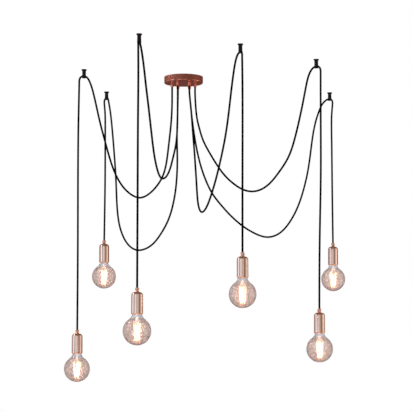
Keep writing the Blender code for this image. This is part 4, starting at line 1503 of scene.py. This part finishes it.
@dataclass(frozen=True)
class Lampholder:
    """A copper cord grip, a deep copper cup and the screw-thread insert inside it, from the top of the grip down."""

    ring: float = 6.9 * MM
    ring_height: float = 5.5 * MM
    neck: float = 5.6 * MM
    foot: float = 7.0 * MM
    grip_length: float = 14 * MM
    stem: float = 4.7 * MM
    bore: float = 3.8 * MM
    bore_depth: float = 4 * MM
    nut_corners: float = 14.2 * MM
    nut_height: float = 3.5 * MM
    gap: float = 0.3 * MM
    wall: float = 1.0 * MM
    cup_height: float = 74.2 * MM
    shoulder: float = 19.8 * MM
    shoulder_round: float = 11.5 * MM
    mouth: float = 20 * MM
    rim: float = 17.4 * MM
    rim_roll: float = 5.5 * MM
    # How far up the rim the painted lip glow reaches.
    lip: float = 2.4 * MM
    insert: float = 16 * MM
    insert_floor: float = 26.5 * MM
    insert_bore: float = 27 * MM
    cap_bore: float = 13.6 * MM
    screw_radius: float = 1.5 * MM
    screw_tip: float = 9.2 * MM
    screw_height: float = -8.6 * MM
    slot_width: float = 0.5 * MM
    slot_depth: float = 0.8 * MM
    steps: int = 14

    @property
    def cup_top(self) -> float:
        """Height of the top of the cup."""
        return -self.grip_length - self.gap

    @property
    def nut_top(self) -> float:
        """Height of the top of the lock nut inside the cup."""
        return self.cup_top - self.wall - self.gap

    @property
    def insert_top(self) -> float:
        """Height of the top of the insert."""
        return self.nut_top - self.nut_height - self.gap

    def grip_mesh(self) -> Mesh:
        """Turn the grip with its grooved ring and flared foot, and add the lock nut on its stem.

        Returns:
            The closed mesh.
        """
        nut_low = self.nut_top - self.nut_height
        groove = self.ring - 0.3 * MM
        outline = rounded([
            (0.0, -self.bore_depth), (self.bore, -self.bore_depth), Bend(self.bore, 0.0, 0.9 * MM, 5),
            Bend(self.ring, 0.0, 0.7 * MM, 4), (self.ring, -1.9 * MM), (groove, -2.2 * MM), (groove, -2.6 * MM),
            (self.ring, -2.9 * MM), Bend(self.ring, -self.ring_height, 0.6 * MM, 3),
            Bend(self.neck, -self.ring_height - 0.8 * MM, 0.5 * MM, 3),
            Bend(self.neck, -self.grip_length + 2.5 * MM, 1.0 * MM, 4),
            Bend(self.foot, -self.grip_length + 0.4 * MM, 0.4 * MM, 2), (self.foot, -self.grip_length),
            (self.stem, -self.grip_length), (self.stem, nut_low), (0.0, nut_low),
        ])
        nut = carved(prism(hexagon(self.nut_corners), nut_low, self.nut_top, 0.35 * MM),
                     rod(self.stem, nut_low - self.wall, self.nut_top + self.wall, 64))
        return joined([turned(outline, 64), nut])

    def grip_screw_mesh(self) -> Mesh:
        """Make the knurled clamping screw that stands out of the side of the grip.

        Returns:
            The closed mesh.
        """
        root, shank = self.neck - 0.4 * MM, self.screw_radius * 0.7
        head_low = root + 1.3 * MM
        outline = rounded([
            (0.0, root), (shank, root), (shank, head_low), Bend(self.screw_radius, head_low, 0.2 * MM, 2),
            Bend(self.screw_radius, self.screw_tip, 0.35 * MM, 4), (0.0, self.screw_tip),
        ])
        slot = bar(self.screw_radius * 2, self.slot_width, self.screw_tip - self.slot_depth, self.screw_tip + 1 * MM)
        return placed(carved(turned(outline, 32), slot), up(self.screw_height), Matrix.Rotation(math.pi / 2, 3, "Y"))

    def cup_mesh(self) -> Mesh:
        """Turn the cup: a domed shoulder, the wall and a rolled-in rim.

        Returns:
            The closed mesh, with the mask of the painted lip glow at its vertices.
        """
        top, roll = self.cup_top, self.cup_top - self.cup_height + self.rim_roll
        hole = self.stem + self.gap
        centre = (self.shoulder - self.shoulder_round, top - self.shoulder_round)
        outer = arc(centre, self.shoulder_round, 90, 0, self.steps)
        inner = arc(centre, self.shoulder_round - self.wall, 0, 90, self.steps)
        turns = [math.pi / 2 * step / self.steps for step in range(self.steps + 1)]
        rolls = [[(self.rim + (self.mouth - self.rim - depth) * math.cos(turn),
                   roll - (self.rim_roll - depth) * math.sin(turn)) for turn in turns] for depth in (0.0, self.wall)]
        cup = turned([(hole, top), *outer, *rolls[0], *rolls[1][::-1], *inner, (hole, top - self.wall)], 96,
                     closed=True)
        # Mask of the painted lip glow: full at the rim's lower edge, none a lip's length above it.
        store_fade(cup, WIRE_HEAT_AND_PAINTED_LIP_GLOW_NAME, roll - self.rim_roll + self.lip, -self.lip)
        return cup

    def insert_mesh(self) -> Mesh:
        """Turn the insert with the thread in its bore.

        Returns:
            The closed mesh.
        """
        top = self.insert_top
        floor = top - self.insert_floor
        mouth = floor - self.insert_bore
        thread = ScrewThread(mouth + 1 * MM, floor - 1 * MM, self.cap_bore, depth=-0.6 * MM)
        bore = [(self.cap_bore, height) for height in reversed(thread.heights())]
        return turned(rounded([
            (0.0, top), Bend(self.insert, top, 3 * MM, 4), Bend(self.insert, mouth, 0.5 * MM, 3),
            Bend(self.cap_bore, mouth, 0.4 * MM, 2), *bore, (self.cap_bore, floor), (0.0, floor),
        ]), 56, thread=thread)

    def build(self, lamps: list[tuple[Cable, float]]) -> None:
        """Make the meshes once and hang a set under each cable.

        Args:
            lamps: each cable with the angle that its lampholder is turned by.
        """
        kinds = (
            ("holder_grip", self.grip_mesh(), GRIP_COPPER, Slot.COPPER, "holder_cord_grip"),
            ("holder_grip_screw", self.grip_screw_mesh(), GRIP_COPPER, Slot.COPPER, None),
            ("copper_cup", self.cup_mesh(), POLISHED_COPPER_PAINTED_LIP_GLOW, Slot.COPPER, "lampholder_cup"),
            ("screw_insert", self.insert_mesh(), INSERT_RESIN, Slot.BLACK_INSERT, "lamp_insert"),
        )
        hang(lamps, kinds, "holder")


def hang(lamps: list[tuple[Cable, float]], kinds: tuple[tuple, ...], body: str) -> None:
    """Place a copy of each kind of piece under each cable.

    Args:
        lamps: each cable with the angle that its lamp is turned by, in degrees.
        kinds: name, mesh, finish, slot and replaced node of each kind.
        body: first part of the name of the body that carries them.
    """
    for name, mesh, finish, slot, node in kinds:
        for cable, degrees in lamps:
            turn = Matrix.Rotation(math.radians(degrees), 3, "Z")
            stands_for = (f"{node}_{cable.number}",) if node else ()
            piece(f"{name}_{cable.number}", placed(mesh.copy(), cable.holder, turn), finish,
                  f"{body}_{cable.number}", stands_for)
        bpy.data.meshes.remove(mesh)


# Bulb


@dataclass(frozen=True)
class GlobeBulb:
    """A globe filament bulb: screw cap, blown glass, glass stem with a painted glow and squirrel-cage filament.

    Heights are from the top of the lampholder's cord grip, as the lampholder's are.
    """

    top: float = -46.4 * MM
    cap: float = 13.1 * MM
    cap_height: float = 30 * MM
    contact: float = 4.8 * MM
    contact_height: float = 2.2 * MM
    collar: float = 11 * MM
    collar_height: float = 2.8 * MM
    shell: float = 0.45 * MM
    centre: float = -144 * MM
    globe: float = 47.5 * MM
    neck: float = 16 * MM
    neck_blend: float = 28 * MM
    glass_wall: float = 1.1 * MM
    tint_top: float = -104 * MM
    tint_fade: float = 9 * MM
    stem_foot: float = -115.9 * MM
    rod: float = 1.1 * MM
    press_length: float = 22 * MM
    press_edge: float = 2.5 * MM
    press_taper: float = 9 * MM
    press_widening: float = 0.55
    press_thinning: float = 0.4
    cage: float = 11.5 * MM
    cage_top: float = -119.3 * MM
    cage_bottom: float = -175.8 * MM
    foot_taper: float = 4.8 * MM
    legs: int = 7
    hairpin: float = 2.4 * MM
    ring_spacing: float = 1.6 * MM
    heat_rise: float = 7.0
    wire: float = 0.42 * MM
    support: float = 0.22 * MM
    lead: float = 0.6 * MM

    @property
    def cap_bottom(self) -> float:
        """Height of the lower edge of the screw cap."""
        return self.top - self.cap_height

    def cap_mesh(self) -> Mesh:
        """Turn the threaded shell of the screw cap.

        Returns:
            The closed mesh.
        """
        shoulder = self.top - self.contact_height - self.collar_height
        inner = self.cap - self.shell - 0.65 * MM
        thread = ScrewThread(self.cap_bottom + 2.5 * MM, shoulder - 0.6 * MM, self.cap)
        wall = [(self.cap, height) for height in thread.heights()]
        return turned(rounded([
            (self.collar - self.shell, shoulder + 2.1 * MM), (self.collar, shoulder + 2.4 * MM),
            Bend(self.cap, shoulder, 1.2 * MM, 4), *wall, Bend(self.cap, self.cap_bottom, 0.3 * MM, 2),
            Bend(inner, self.cap_bottom, 0.3 * MM, 2), Bend(inner, shoulder - 0.4 * MM, 1 * MM, 3),
        ], closed=True), 72, closed=True, thread=thread)

    def cap_glass_mesh(self) -> Mesh:
        """Turn the black glass between the contact and the shell.

        Returns:
            The closed mesh.
        """
        high = self.top - 0.7 * MM
        low = self.top - self.contact_height - self.collar_height + 0.6 * MM
        return turned(rounded([(0.0, high), Bend(self.contact + 0.5 * MM, high, 0.4 * MM, 3),
                               Bend(self.collar - 0.8 * MM, self.top - self.contact_height - 0.2 * MM, 1 * MM, 4),
                               (self.collar - 0.8 * MM, low), (0.0, low)]), 56)

    def contact_mesh(self) -> Mesh:
        """Turn the domed solder contact."""
        low = self.top - 0.8 * MM
        return turned(rounded([(0.0, self.top), Bend(self.contact * 0.72, self.top, 1 * MM, 5),
                               Bend(self.contact, low, 0.2 * MM, 2), (0.0, low)]), 40)

    def glass_side(self, inset: float, steps: int) -> Outline:
        """Draw one side of the glass's wall, from the seal in the cap down to the bottom.

        Args:
            inset: how deep it lies under the outer skin.
            steps: parts of the globe's curve.

        Returns:
            The (radius, height) points.
        """
        globe, neck, blend = self.globe - inset, self.neck - inset, self.neck_blend + inset
        rise = math.sqrt((globe + blend) ** 2 - (neck + blend) ** 2)
        meet = math.degrees(math.atan2(rise, neck + blend))
        seal = 11.4 * MM - inset
        points = rounded([(seal, self.cap_bottom + 2 * MM), Bend(seal, self.cap_bottom - 1.2 * MM, 1.2 * MM, 4),
                          Bend(neck, self.cap_bottom - 4.6 * MM, 3.6 * MM, 6),
                          (neck, self.cap_bottom - 9 * MM)])
        points += arc((neck + blend, self.centre + rise), blend, 180, 180 + meet, steps // 3)
        points += arc((0.0, self.centre), globe, meet, -90, steps)[1:-1]
        return [*points, (0.0, self.centre - globe)]

    def glass_mesh(self) -> Mesh:
        """Turn the blown glass, with an outer and an inner skin.

        Returns:
            The closed mesh, with the neck's fade at its vertices.
        """
        outline = self.glass_side(0.0, 42) + self.glass_side(self.glass_wall, 42)[::-1]
        glass = turned(outline, 96, closed=True)
        store_fade(glass, NECK_NAME, self.tint_top, self.tint_fade)
        return glass

    def stem_mesh(self) -> Mesh:
        """Turn the flared stem and the rod with the two beads that hold the supports, and press its foot flat.

        Returns:
            The closed mesh.
        """
        high = self.cap_bottom + 1.6 * MM
        foot, rod = self.stem_foot, self.rod
        top_bead, low_bead = self.cage_top, self.cage_bottom
        stem = turned(rounded([
            (0.0, high), (10 * MM, high), Bend(9.6 * MM, high - 4 * MM, 2 * MM, 4),
            Bend(6.2 * MM, high - 12 * MM, 6 * MM, 6), Bend(4.6 * MM, high - 26 * MM, 6 * MM, 6),
            Bend(4.9 * MM, foot + 9 * MM, 3 * MM, 5), Bend(rod, foot, 3 * MM, 6), (rod, top_bead + 2.2 * MM),
            Bend(2.2 * MM, top_bead, 1.6 * MM, 6), (rod, top_bead - 2.2 * MM), (rod, low_bead + 2 * MM),
            Bend(2.4 * MM, low_bead, 1.6 * MM, 6), (0.0, low_bead - 1.8 * MM),
        ]), 40)
        for vertex in stem.vertices:
            pressed = clamped((vertex.co.z - foot) / self.press_edge)
            pressed *= clamped((foot + self.press_length - vertex.co.z) / self.press_taper)
            vertex.co.x *= 1 + self.press_widening * pressed
            vertex.co.y *= 1 - self.press_thinning * pressed
        return stem

    def filament_mesh(self) -> Mesh:
        """Grow the hot wire up and down between the two rings of supports, cooler where they touch it.

        Returns:
            The mesh, with the wire's heat at its vertices.
        """
        growth = Growth("filament", {
            "Corners": self.legs * 2, "Cage Radius": self.cage, "Cage Top": self.cage_top,
            "Cage Height": self.cage_top - self.cage_bottom, "Wire Radius": self.wire, "Hairpin Radius": self.hairpin,
            "Foot Taper": self.foot_taper, "Ring Spacing": self.ring_spacing,
        })
        line = growth.add("GeometryNodeMeshLine", {"Count": growth.size("Corners")}, mode="OFFSET",
                          count_mode="TOTAL")
        index = growth.add("GeometryNodeInputIndex")
        leg = growth.add("FLOOR", (growth.add("DIVIDE", (index, 2.0)),))
        angle = growth.add("MULTIPLY", (leg, math.tau / (self.legs + 1)))
        turn = growth.add("FLOOR", (growth.add("DIVIDE", (growth.add("ADD", (index, 1.0)), 2.0)),))
        low_end = growth.add("PINGPONG", (turn, 1.0))
        down = growth.add("MULTIPLY", (low_end, growth.size("Cage Height")))
        inward = growth.add("MULTIPLY", (low_end, growth.size("Foot Taper")))
        reach = growth.add("SUBTRACT", (growth.size("Cage Radius"), inward))
        level = growth.add("SUBTRACT", (growth.size("Cage Top"), down))
        flat = [growth.add("MULTIPLY", (growth.add(way, (angle,)), reach)) for way in ("COSINE", "SINE")]
        spot = growth.add("ShaderNodeCombineXYZ", (*flat, level))
        zigzag = growth.add("GeometryNodeSetPosition", {"Geometry": line.outputs[0], "Position": spot})
        curve = growth.add("GeometryNodeMeshToCurve", {"Mesh": zigzag.outputs[0]})
        bent = growth.add("GeometryNodeFilletCurve", {"Curve": curve.outputs[0],
                                                      "Radius": growth.size("Hairpin Radius")},
                          {"Count": 6, "Limit Radius": True}, mode="POLY")
        even = growth.add("GeometryNodeResampleCurve", {"Curve": bent.outputs[0],
                                                        "Length": growth.size("Ring Spacing")}, mode="LENGTH")
        height = growth.add("ShaderNodeSeparateXYZ",
                            {"Vector": growth.add("GeometryNodeInputPosition").outputs[0]}).outputs["Z"]
        fallen = growth.add("SUBTRACT", (growth.size("Cage Top"), height))
        share = growth.add("DIVIDE", (fallen, growth.size("Cage Height")))
        from_end = growth.add("MINIMUM", (share, growth.add("SUBTRACT", (1.0, share))))
        heat = growth.add("GeometryNodeStoreNamedAttribute",
                          {"Geometry": even, "Value": growth.add("MULTIPLY", (from_end, self.heat_rise))},
                          {"Name": WIRE_HEAT_AND_PAINTED_LIP_GLOW_NAME}, data_type="FLOAT", domain="POINT")
        ring = growth.add("GeometryNodeCurvePrimitiveCircle", {"Radius": growth.size("Wire Radius")},
                          {"Resolution": 7}, mode="RADIUS")
        wire = growth.add("GeometryNodeCurveToMesh", {"Curve": heat.outputs[0], "Profile Curve": ring.outputs[0]},
                          {"Fill Caps": True})
        return growth.grown(wire.outputs[0], HOT_WIRE)

    def supports_mesh(self) -> Mesh:
        """Grow the two rings of fine support wires that hold the hairpins off the glass rod.

        Returns:
            The closed mesh.
        """
        spokes = self.legs // 2 + 1
        growth = Growth("supports", {"Spokes": spokes, "Middle Radius": (self.cage + self.rod) / 2,
                                     "Spoke Length": self.cage - self.rod, "Spoke Radius": self.support})
        circle = growth.add("GeometryNodeMeshCircle", {"Vertices": growth.size("Spokes"),
                                                       "Radius": growth.size("Middle Radius")})
        spoke = growth.add("GeometryNodeMeshCylinder", {"Radius": growth.size("Spoke Radius"),
                                                        "Depth": growth.size("Spoke Length")}, {"Vertices": 8})
        out = growth.add("FunctionNodeAlignRotationToVector",
                         {"Vector": growth.add("GeometryNodeInputPosition").outputs[0]}, axis="Z")
        ring = growth.add("GeometryNodeInstanceOnPoints", {"Points": circle.outputs[0], "Instance": spoke.outputs[0],
                                                           "Rotation": out.outputs[0]})
        both = growth.add("GeometryNodeJoinGeometry")
        for height, turn in ((self.cage_top, 0.0), (self.cage_bottom, math.pi / spokes)):
            level = growth.add("GeometryNodeTransform", {"Geometry": ring.outputs[0]},
                               {"Translation": (0, 0, height), "Rotation": (0, 0, turn)})
            growth.tree.links.new(level.outputs[0], both.inputs[0])
        return growth.grown(both.outputs[0], LEAD_WIRE)

    def leads_mesh(self) -> Mesh:
        """Bend the two lead wires and the anchor between them from the pressed foot out to the top of the cage.

        Returns:
            The closed mesh.
        """
        wires = []
        for degrees in (0.0, 180.0, 360.0 * (self.legs - 1) / (self.legs + 1)):
            out = Vector((math.cos(math.radians(degrees)), math.sin(math.radians(degrees)), 0.0))
            route = [out * reach + up(height) for reach, height in (
                (1.8 * MM, self.cage_top + 21 * MM), (3.4 * MM, self.cage_top + 15 * MM),
                (9.6 * MM, self.cage_top + 4 * MM), (self.cage, self.cage_top + 0.3 * MM))]
            line = smooth_line(route, 6)
            wires.append(Tube(line, self.lead, 8).stretch(0, len(line) - 1))
        return joined(wires)

    def build(self, lamps: list[tuple[Cable, float]]) -> None:
        """Make the meshes once and screw a set into each lampholder.

        Args:
            lamps: each cable with the angle that its bulb is turned by.
        """
        kinds = (
            ("screw_cap", self.cap_mesh(), CAP_NICKEL, Slot.NICKEL_CAP, "bulb_base"),
            ("cap_glass", self.cap_glass_mesh(), CAP_GLASS, Slot.BLACK_INSERT, None),
            ("cap_contact", self.contact_mesh(), CAP_NICKEL, Slot.NICKEL_CAP, None),
            ("blown_globe", self.glass_mesh(), TINTED_GLASS, Slot.SMOKED_GLASS, "bulb_glass"),
            ("glass_stem", self.stem_mesh(), STEM_GLASS_PAINTED_GLOW, Slot.SMOKED_GLASS, None),
            ("filament", self.filament_mesh(), HOT_WIRE, Slot.NICKEL_CAP, None),
            ("filament_supports", self.supports_mesh(), LEAD_WIRE, Slot.NICKEL_CAP, None),
            ("lead_wires", self.leads_mesh(), LEAD_PAINTED_GLINT, Slot.NICKEL_CAP, None),
        )
        hang(lamps, kinds, "bulb")


# Studio


@dataclass(frozen=True)
class Surround:
    """A paper wall, floor and ceiling round the set that only polished surfaces see.

    The wall's tones change with the bearing, in degrees from the camera's side and to the right as the camera sees it,
    as soft boxes and dark flags would make them. Each strip is a bright upright band in front of the wall: its left
    and right bearing, its colour and its strength. The glint is the one small round lamp that shows as a spot.
    """

    tones: Stops
    strips: tuple[tuple[float, float, str, float], ...]
    floor_tone: str
    ceiling_tone: str
    strength: float = 1.46
    strip_gap: float = 0.05
    glint_place: tuple[float, float, float] = (-1.87, -0.07, 0.89)
    glint_radius: float = 0.33
    glint_strength: float = 10.0
    glint_tone: str = "FFF4EA"
    radius: float = 3.2
    low: float = -2.35
    high: float = 1.0
    step: float = 5.0

    def build(self) -> list[bpy.types.Object]:
        """Make the wall, its bright strips, the floor, the ceiling and a lamp head, all seen only as reflections.

        Returns:
            The objects, for the stage.
        """
        parts = [self.hidden(self.wall("surround_wall", -180, 180, self.radius), self.tones, self.strength)]
        for number, (start, end, tone, strength) in enumerate(self.strips):
            strip = self.wall(f"surround_strip_{number}", start, end, self.radius - self.strip_gap)
            parts.append(self.hidden(strip, ((0, tone),), strength, through_glass=True))
        for name, height, tone in (("surround_floor", self.low, self.floor_tone),
                                   ("surround_ceiling", self.high, self.ceiling_tone)):
            parts.append(self.hidden(disc(name, self.radius, height), ((0, tone),), self.strength))
        glint = disc("lamp_head", self.glint_radius, 0.0)
        aim = Vector(self.glint_place).to_track_quat("Z", "Y").to_matrix().to_4x4()
        glint.transform(Matrix.Translation(self.glint_place) @ aim)
        parts.append(self.hidden(glint, ((0, self.glint_tone),), self.glint_strength, through_glass=True))
        return parts

    def wall(self, name: str, start: float, end: float, radius: float) -> Mesh:
        """Make a part of a round wall.

        Args:
            name: name of the mesh.
            start: bearing of its left end, in degrees.
            end: bearing of its right end.
            radius: how far it stands from the middle.

        Returns:
            The mesh, with its bearing in turns as its surface map.
        """
        bm = bmesh.new()
        uv = bm.loops.layers.uv.new(UV_NAME)
        count = max(2, round((end - start) / self.step))
        edge = []
        for index in range(count + 1):
            bearing = start + (end - start) * index / count
            x, y = radius * math.sin(math.radians(bearing)), -radius * math.cos(math.radians(bearing))
            edge.append((bearing, bm.verts.new((x, y, self.low)), bm.verts.new((x, y, self.high))))
        for (before, left_low, left_high), (after, right_low, right_high) in zip(edge, edge[1:]):
            face = bm.faces.new((left_low, right_low, right_high, left_high))
            for loop, bearing in zip(face.loops, (before, after, after, before)):
                loop[uv].uv = ((bearing + 180) / 360, 0.0)
        return drawn(bm, name)

    @staticmethod
    def hidden(mesh: Mesh, tones: Stops, strength: float, through_glass: bool = False) -> bpy.types.Object:
        """Give a mesh its tones and show it to reflections only.

        Args:
            mesh: the mesh.
            tones: pairs of bearing and hex colour.
            strength: how brightly it shines, where 1 is white.
            through_glass: whether a reflection on the far wall of a globe shows it too.

        Returns:
            The object.
        """
        lit = bpy.data.materials.new(mesh.name)
        lit.use_nodes = True
        tree = lit.node_tree
        tree.nodes.clear()
        bearing = Finish.surface(tree)[0]
        stops = tuple(((at + 180) / 360, tone) for at, tone in tones)
        glow = add_node(tree, "ShaderNodeEmission",
                        {"Color": add_node(tree, "ShaderNodeValToRGB", {"Fac": bearing}, stops=stops)},
                        {"Strength": strength})
        add_node(tree, "ShaderNodeOutputMaterial", {"Surface": glow.outputs[0]})
        mesh.materials.append(lit)
        part = linked(mesh.name, mesh)
        part.visible_camera = part.visible_diffuse = part.visible_shadow = part.visible_volume_scatter = False
        part.visible_transmission = through_glass
        return part


def disc(name: str, radius: float, height: float, sides: int = 96) -> Mesh:
    """Return a flat round mesh, facing up.

    Args:
        name: name of the mesh.
        radius: its radius.
        height: its height.
        sides: corners of its rim.

    Returns:
        The mesh.
    """
    mesh = bpy.data.meshes.new(name)
    rim = [(radius * math.cos(math.tau * k / sides), radius * math.sin(math.tau * k / sides), height)
           for k in range(sides)]
    mesh.from_pydata(rim, [], [tuple(range(sides))])
    return mesh


@dataclass(frozen=True)
class Lamp:
    """A soft area lamp that polished surfaces don't see."""

    name: str
    place: tuple[float, float, float]
    size: float
    watts: float
    aim: tuple[float, float, float] = (0.0, 0.0, -0.6)

    def build(self) -> bpy.types.Object:
        """Make the lamp and turn it to what it lights.

        Returns:
            The lamp.
        """
        data = bpy.data.lights.new(self.name, "AREA")
        data.shape = "DISK"
        data.size = self.size
        data.energy = self.watts
        lamp = linked(self.name, data)
        lamp.location = self.place
        lamp.rotation_euler = (Vector(self.aim) - Vector(self.place)).to_track_quat("-Z", "Y").to_euler()
        lamp.visible_glossy = lamp.visible_transmission = False
        return lamp


@dataclass(frozen=True)
class PaleFloor(Finish):
    """Matt pale paper, which the camera sees as near to white as the backdrop and still with its shadows."""

    lift: float = 0.36

    def dress(self, tree: Tree, shader: bpy.types.Node) -> None:
        """Lift the paper's tone for the camera alone."""
        seen = add_node(tree, "ShaderNodeLightPath").outputs["Is Camera Ray"]
        tree.links.new(add_node(tree, "MULTIPLY", (seen, self.lift)).outputs[0], shader.inputs["Emission Strength"])
        shader.inputs["Emission Color"].default_value = linear(self.colour)


@dataclass(frozen=True)
class Studio:
    """A pale floor, soft lamps, the surround and the camera at the photograph's place."""

    camera_place: tuple[float, float, float] = (0.086, -6.734, -1.262)
    camera_rise: float = 6.47
    focal_pixels: float = 1780.0
    image_pixels: float = 412.0
    sensor: float = 36.0
    sight: float = 60.0
    floor_height: float = -2.4
    floor_radius: float = 9.0
    white: float = 1.0
    fill: float = 0.55
    lamps: tuple[Lamp, ...] = (
        Lamp("overhead_lamp", (-0.6, -0.8, 2.6), 3.4, 60.0),
        Lamp("left_lamp", (-3.4, -3.2, 0.2), 2.2, 42.0),
        Lamp("right_lamp", (3.8, -1.4, -0.4), 2.0, 22.0),
    )
    surround: Surround = Surround(
        tones=((-180, "65423B"), (-155, "6E5048"), (-128, "A08A7E"), (-104, "AC9E98"), (-88, "A39B98"),
               (-76, "B2AFB2"), (-62, "B0ACB0"), (-50, "6C6A6E"), (-41, "98969A"), (-33, "DCDADE"), (-26, "CCCACC"),
               (-17, "DCD8D8"), (-8, "A09894"), (2, "988E88"), (8, "D2C6BE"), (15, "C4B6AA"), (24, "86766A"),
               (35, "7B6A5F"), (46, "766359"), (56, "AE9C8E"), (70, "C8B6A8"), (86, "C4A58F"), (100, "B98D72"),
               (105, "A5826C"), (118, "845F4C"), (135, "7A5444"), (155, "6E5048"), (180, "65423B")),
        strips=((-72, -64, "EEF3FF", 2.6), (90, 96, "FFE6D2", 2.2)),
        floor_tone="8E5436", ceiling_tone="755A48")

    def build(self) -> None:
        """Make the studio."""
        floor = disc("pale_floor", self.floor_radius, self.floor_height)
        floor.materials.append(PaleFloor("pale_floor_paper", "F3F1EE", 0.9, 0.0).material())
        ground = linked("pale_floor", floor)
        ground.visible_glossy = False
        self.surround.build()
        for lamp in self.lamps:
            lamp.build()
        self.light_world()
        self.aim_camera()

    def light_world(self) -> None:
        """Give the world its white background, and a softer fill for matt surfaces."""
        world = bpy.data.worlds.new("studio")
        world.use_nodes = True
        tree = world.node_tree
        tree.nodes.clear()
        path = add_node(tree, "ShaderNodeLightPath")
        bounced = add_node(tree, "MAXIMUM", (path.outputs["Is Glossy Ray"], path.outputs["Is Transmission Ray"]))
        seen = add_node(tree, "MAXIMUM", (path.outputs["Is Camera Ray"], bounced))
        strength = add_node(tree, "ShaderNodeMapRange", {"Value": seen}, {"To Min": self.fill, "To Max": self.white})
        sky = add_node(tree, "ShaderNodeBackground", {"Strength": strength.outputs[0]}, {"Color": linear("FFFFFF")})
        add_node(tree, "ShaderNodeOutputWorld", {"Surface": sky.outputs[0]})
        bpy.context.scene.world = world

    def aim_camera(self) -> None:
        """Place the camera and set the plain view of colours."""
        data = bpy.data.cameras.new("photo_camera")
        data.sensor_width = self.sensor
        data.lens = self.focal_pixels * self.sensor / self.image_pixels
        data.clip_end = self.sight
        camera = linked("photo_camera", data)
        camera.location = self.camera_place
        camera.rotation_euler = (math.radians(90 + self.camera_rise), 0.0, 0.0)
        bpy.context.scene.camera = camera
        bpy.context.scene.view_settings.view_transform = "Standard"


GRIP_SCREW_BEARINGS = (-62.0, -128.0, -95.0, -85.0, -70.0, -110.0)
LAMP_TURNS = (-75.0, 160.0, -118.0, -12.0, 205.0, -40.0)


def main() -> None:
    """Build the light from the rose down, and then the studio."""
    logging.basicConfig(level=logging.INFO, format="%(name)s: %(message)s")
    Rose().build()
    for cable, bearing in zip(CABLES, GRIP_SCREW_BEARINGS):
        RoseCordGrip(cable, bearing).build()
        CeilingHook(cable).build()
        cable.build()
    lamps = list(zip(CABLES, LAMP_TURNS))
    Lampholder().build(lamps)
    GlobeBulb().build(lamps)
    Studio().build()


if __name__ == "__main__":
    main()
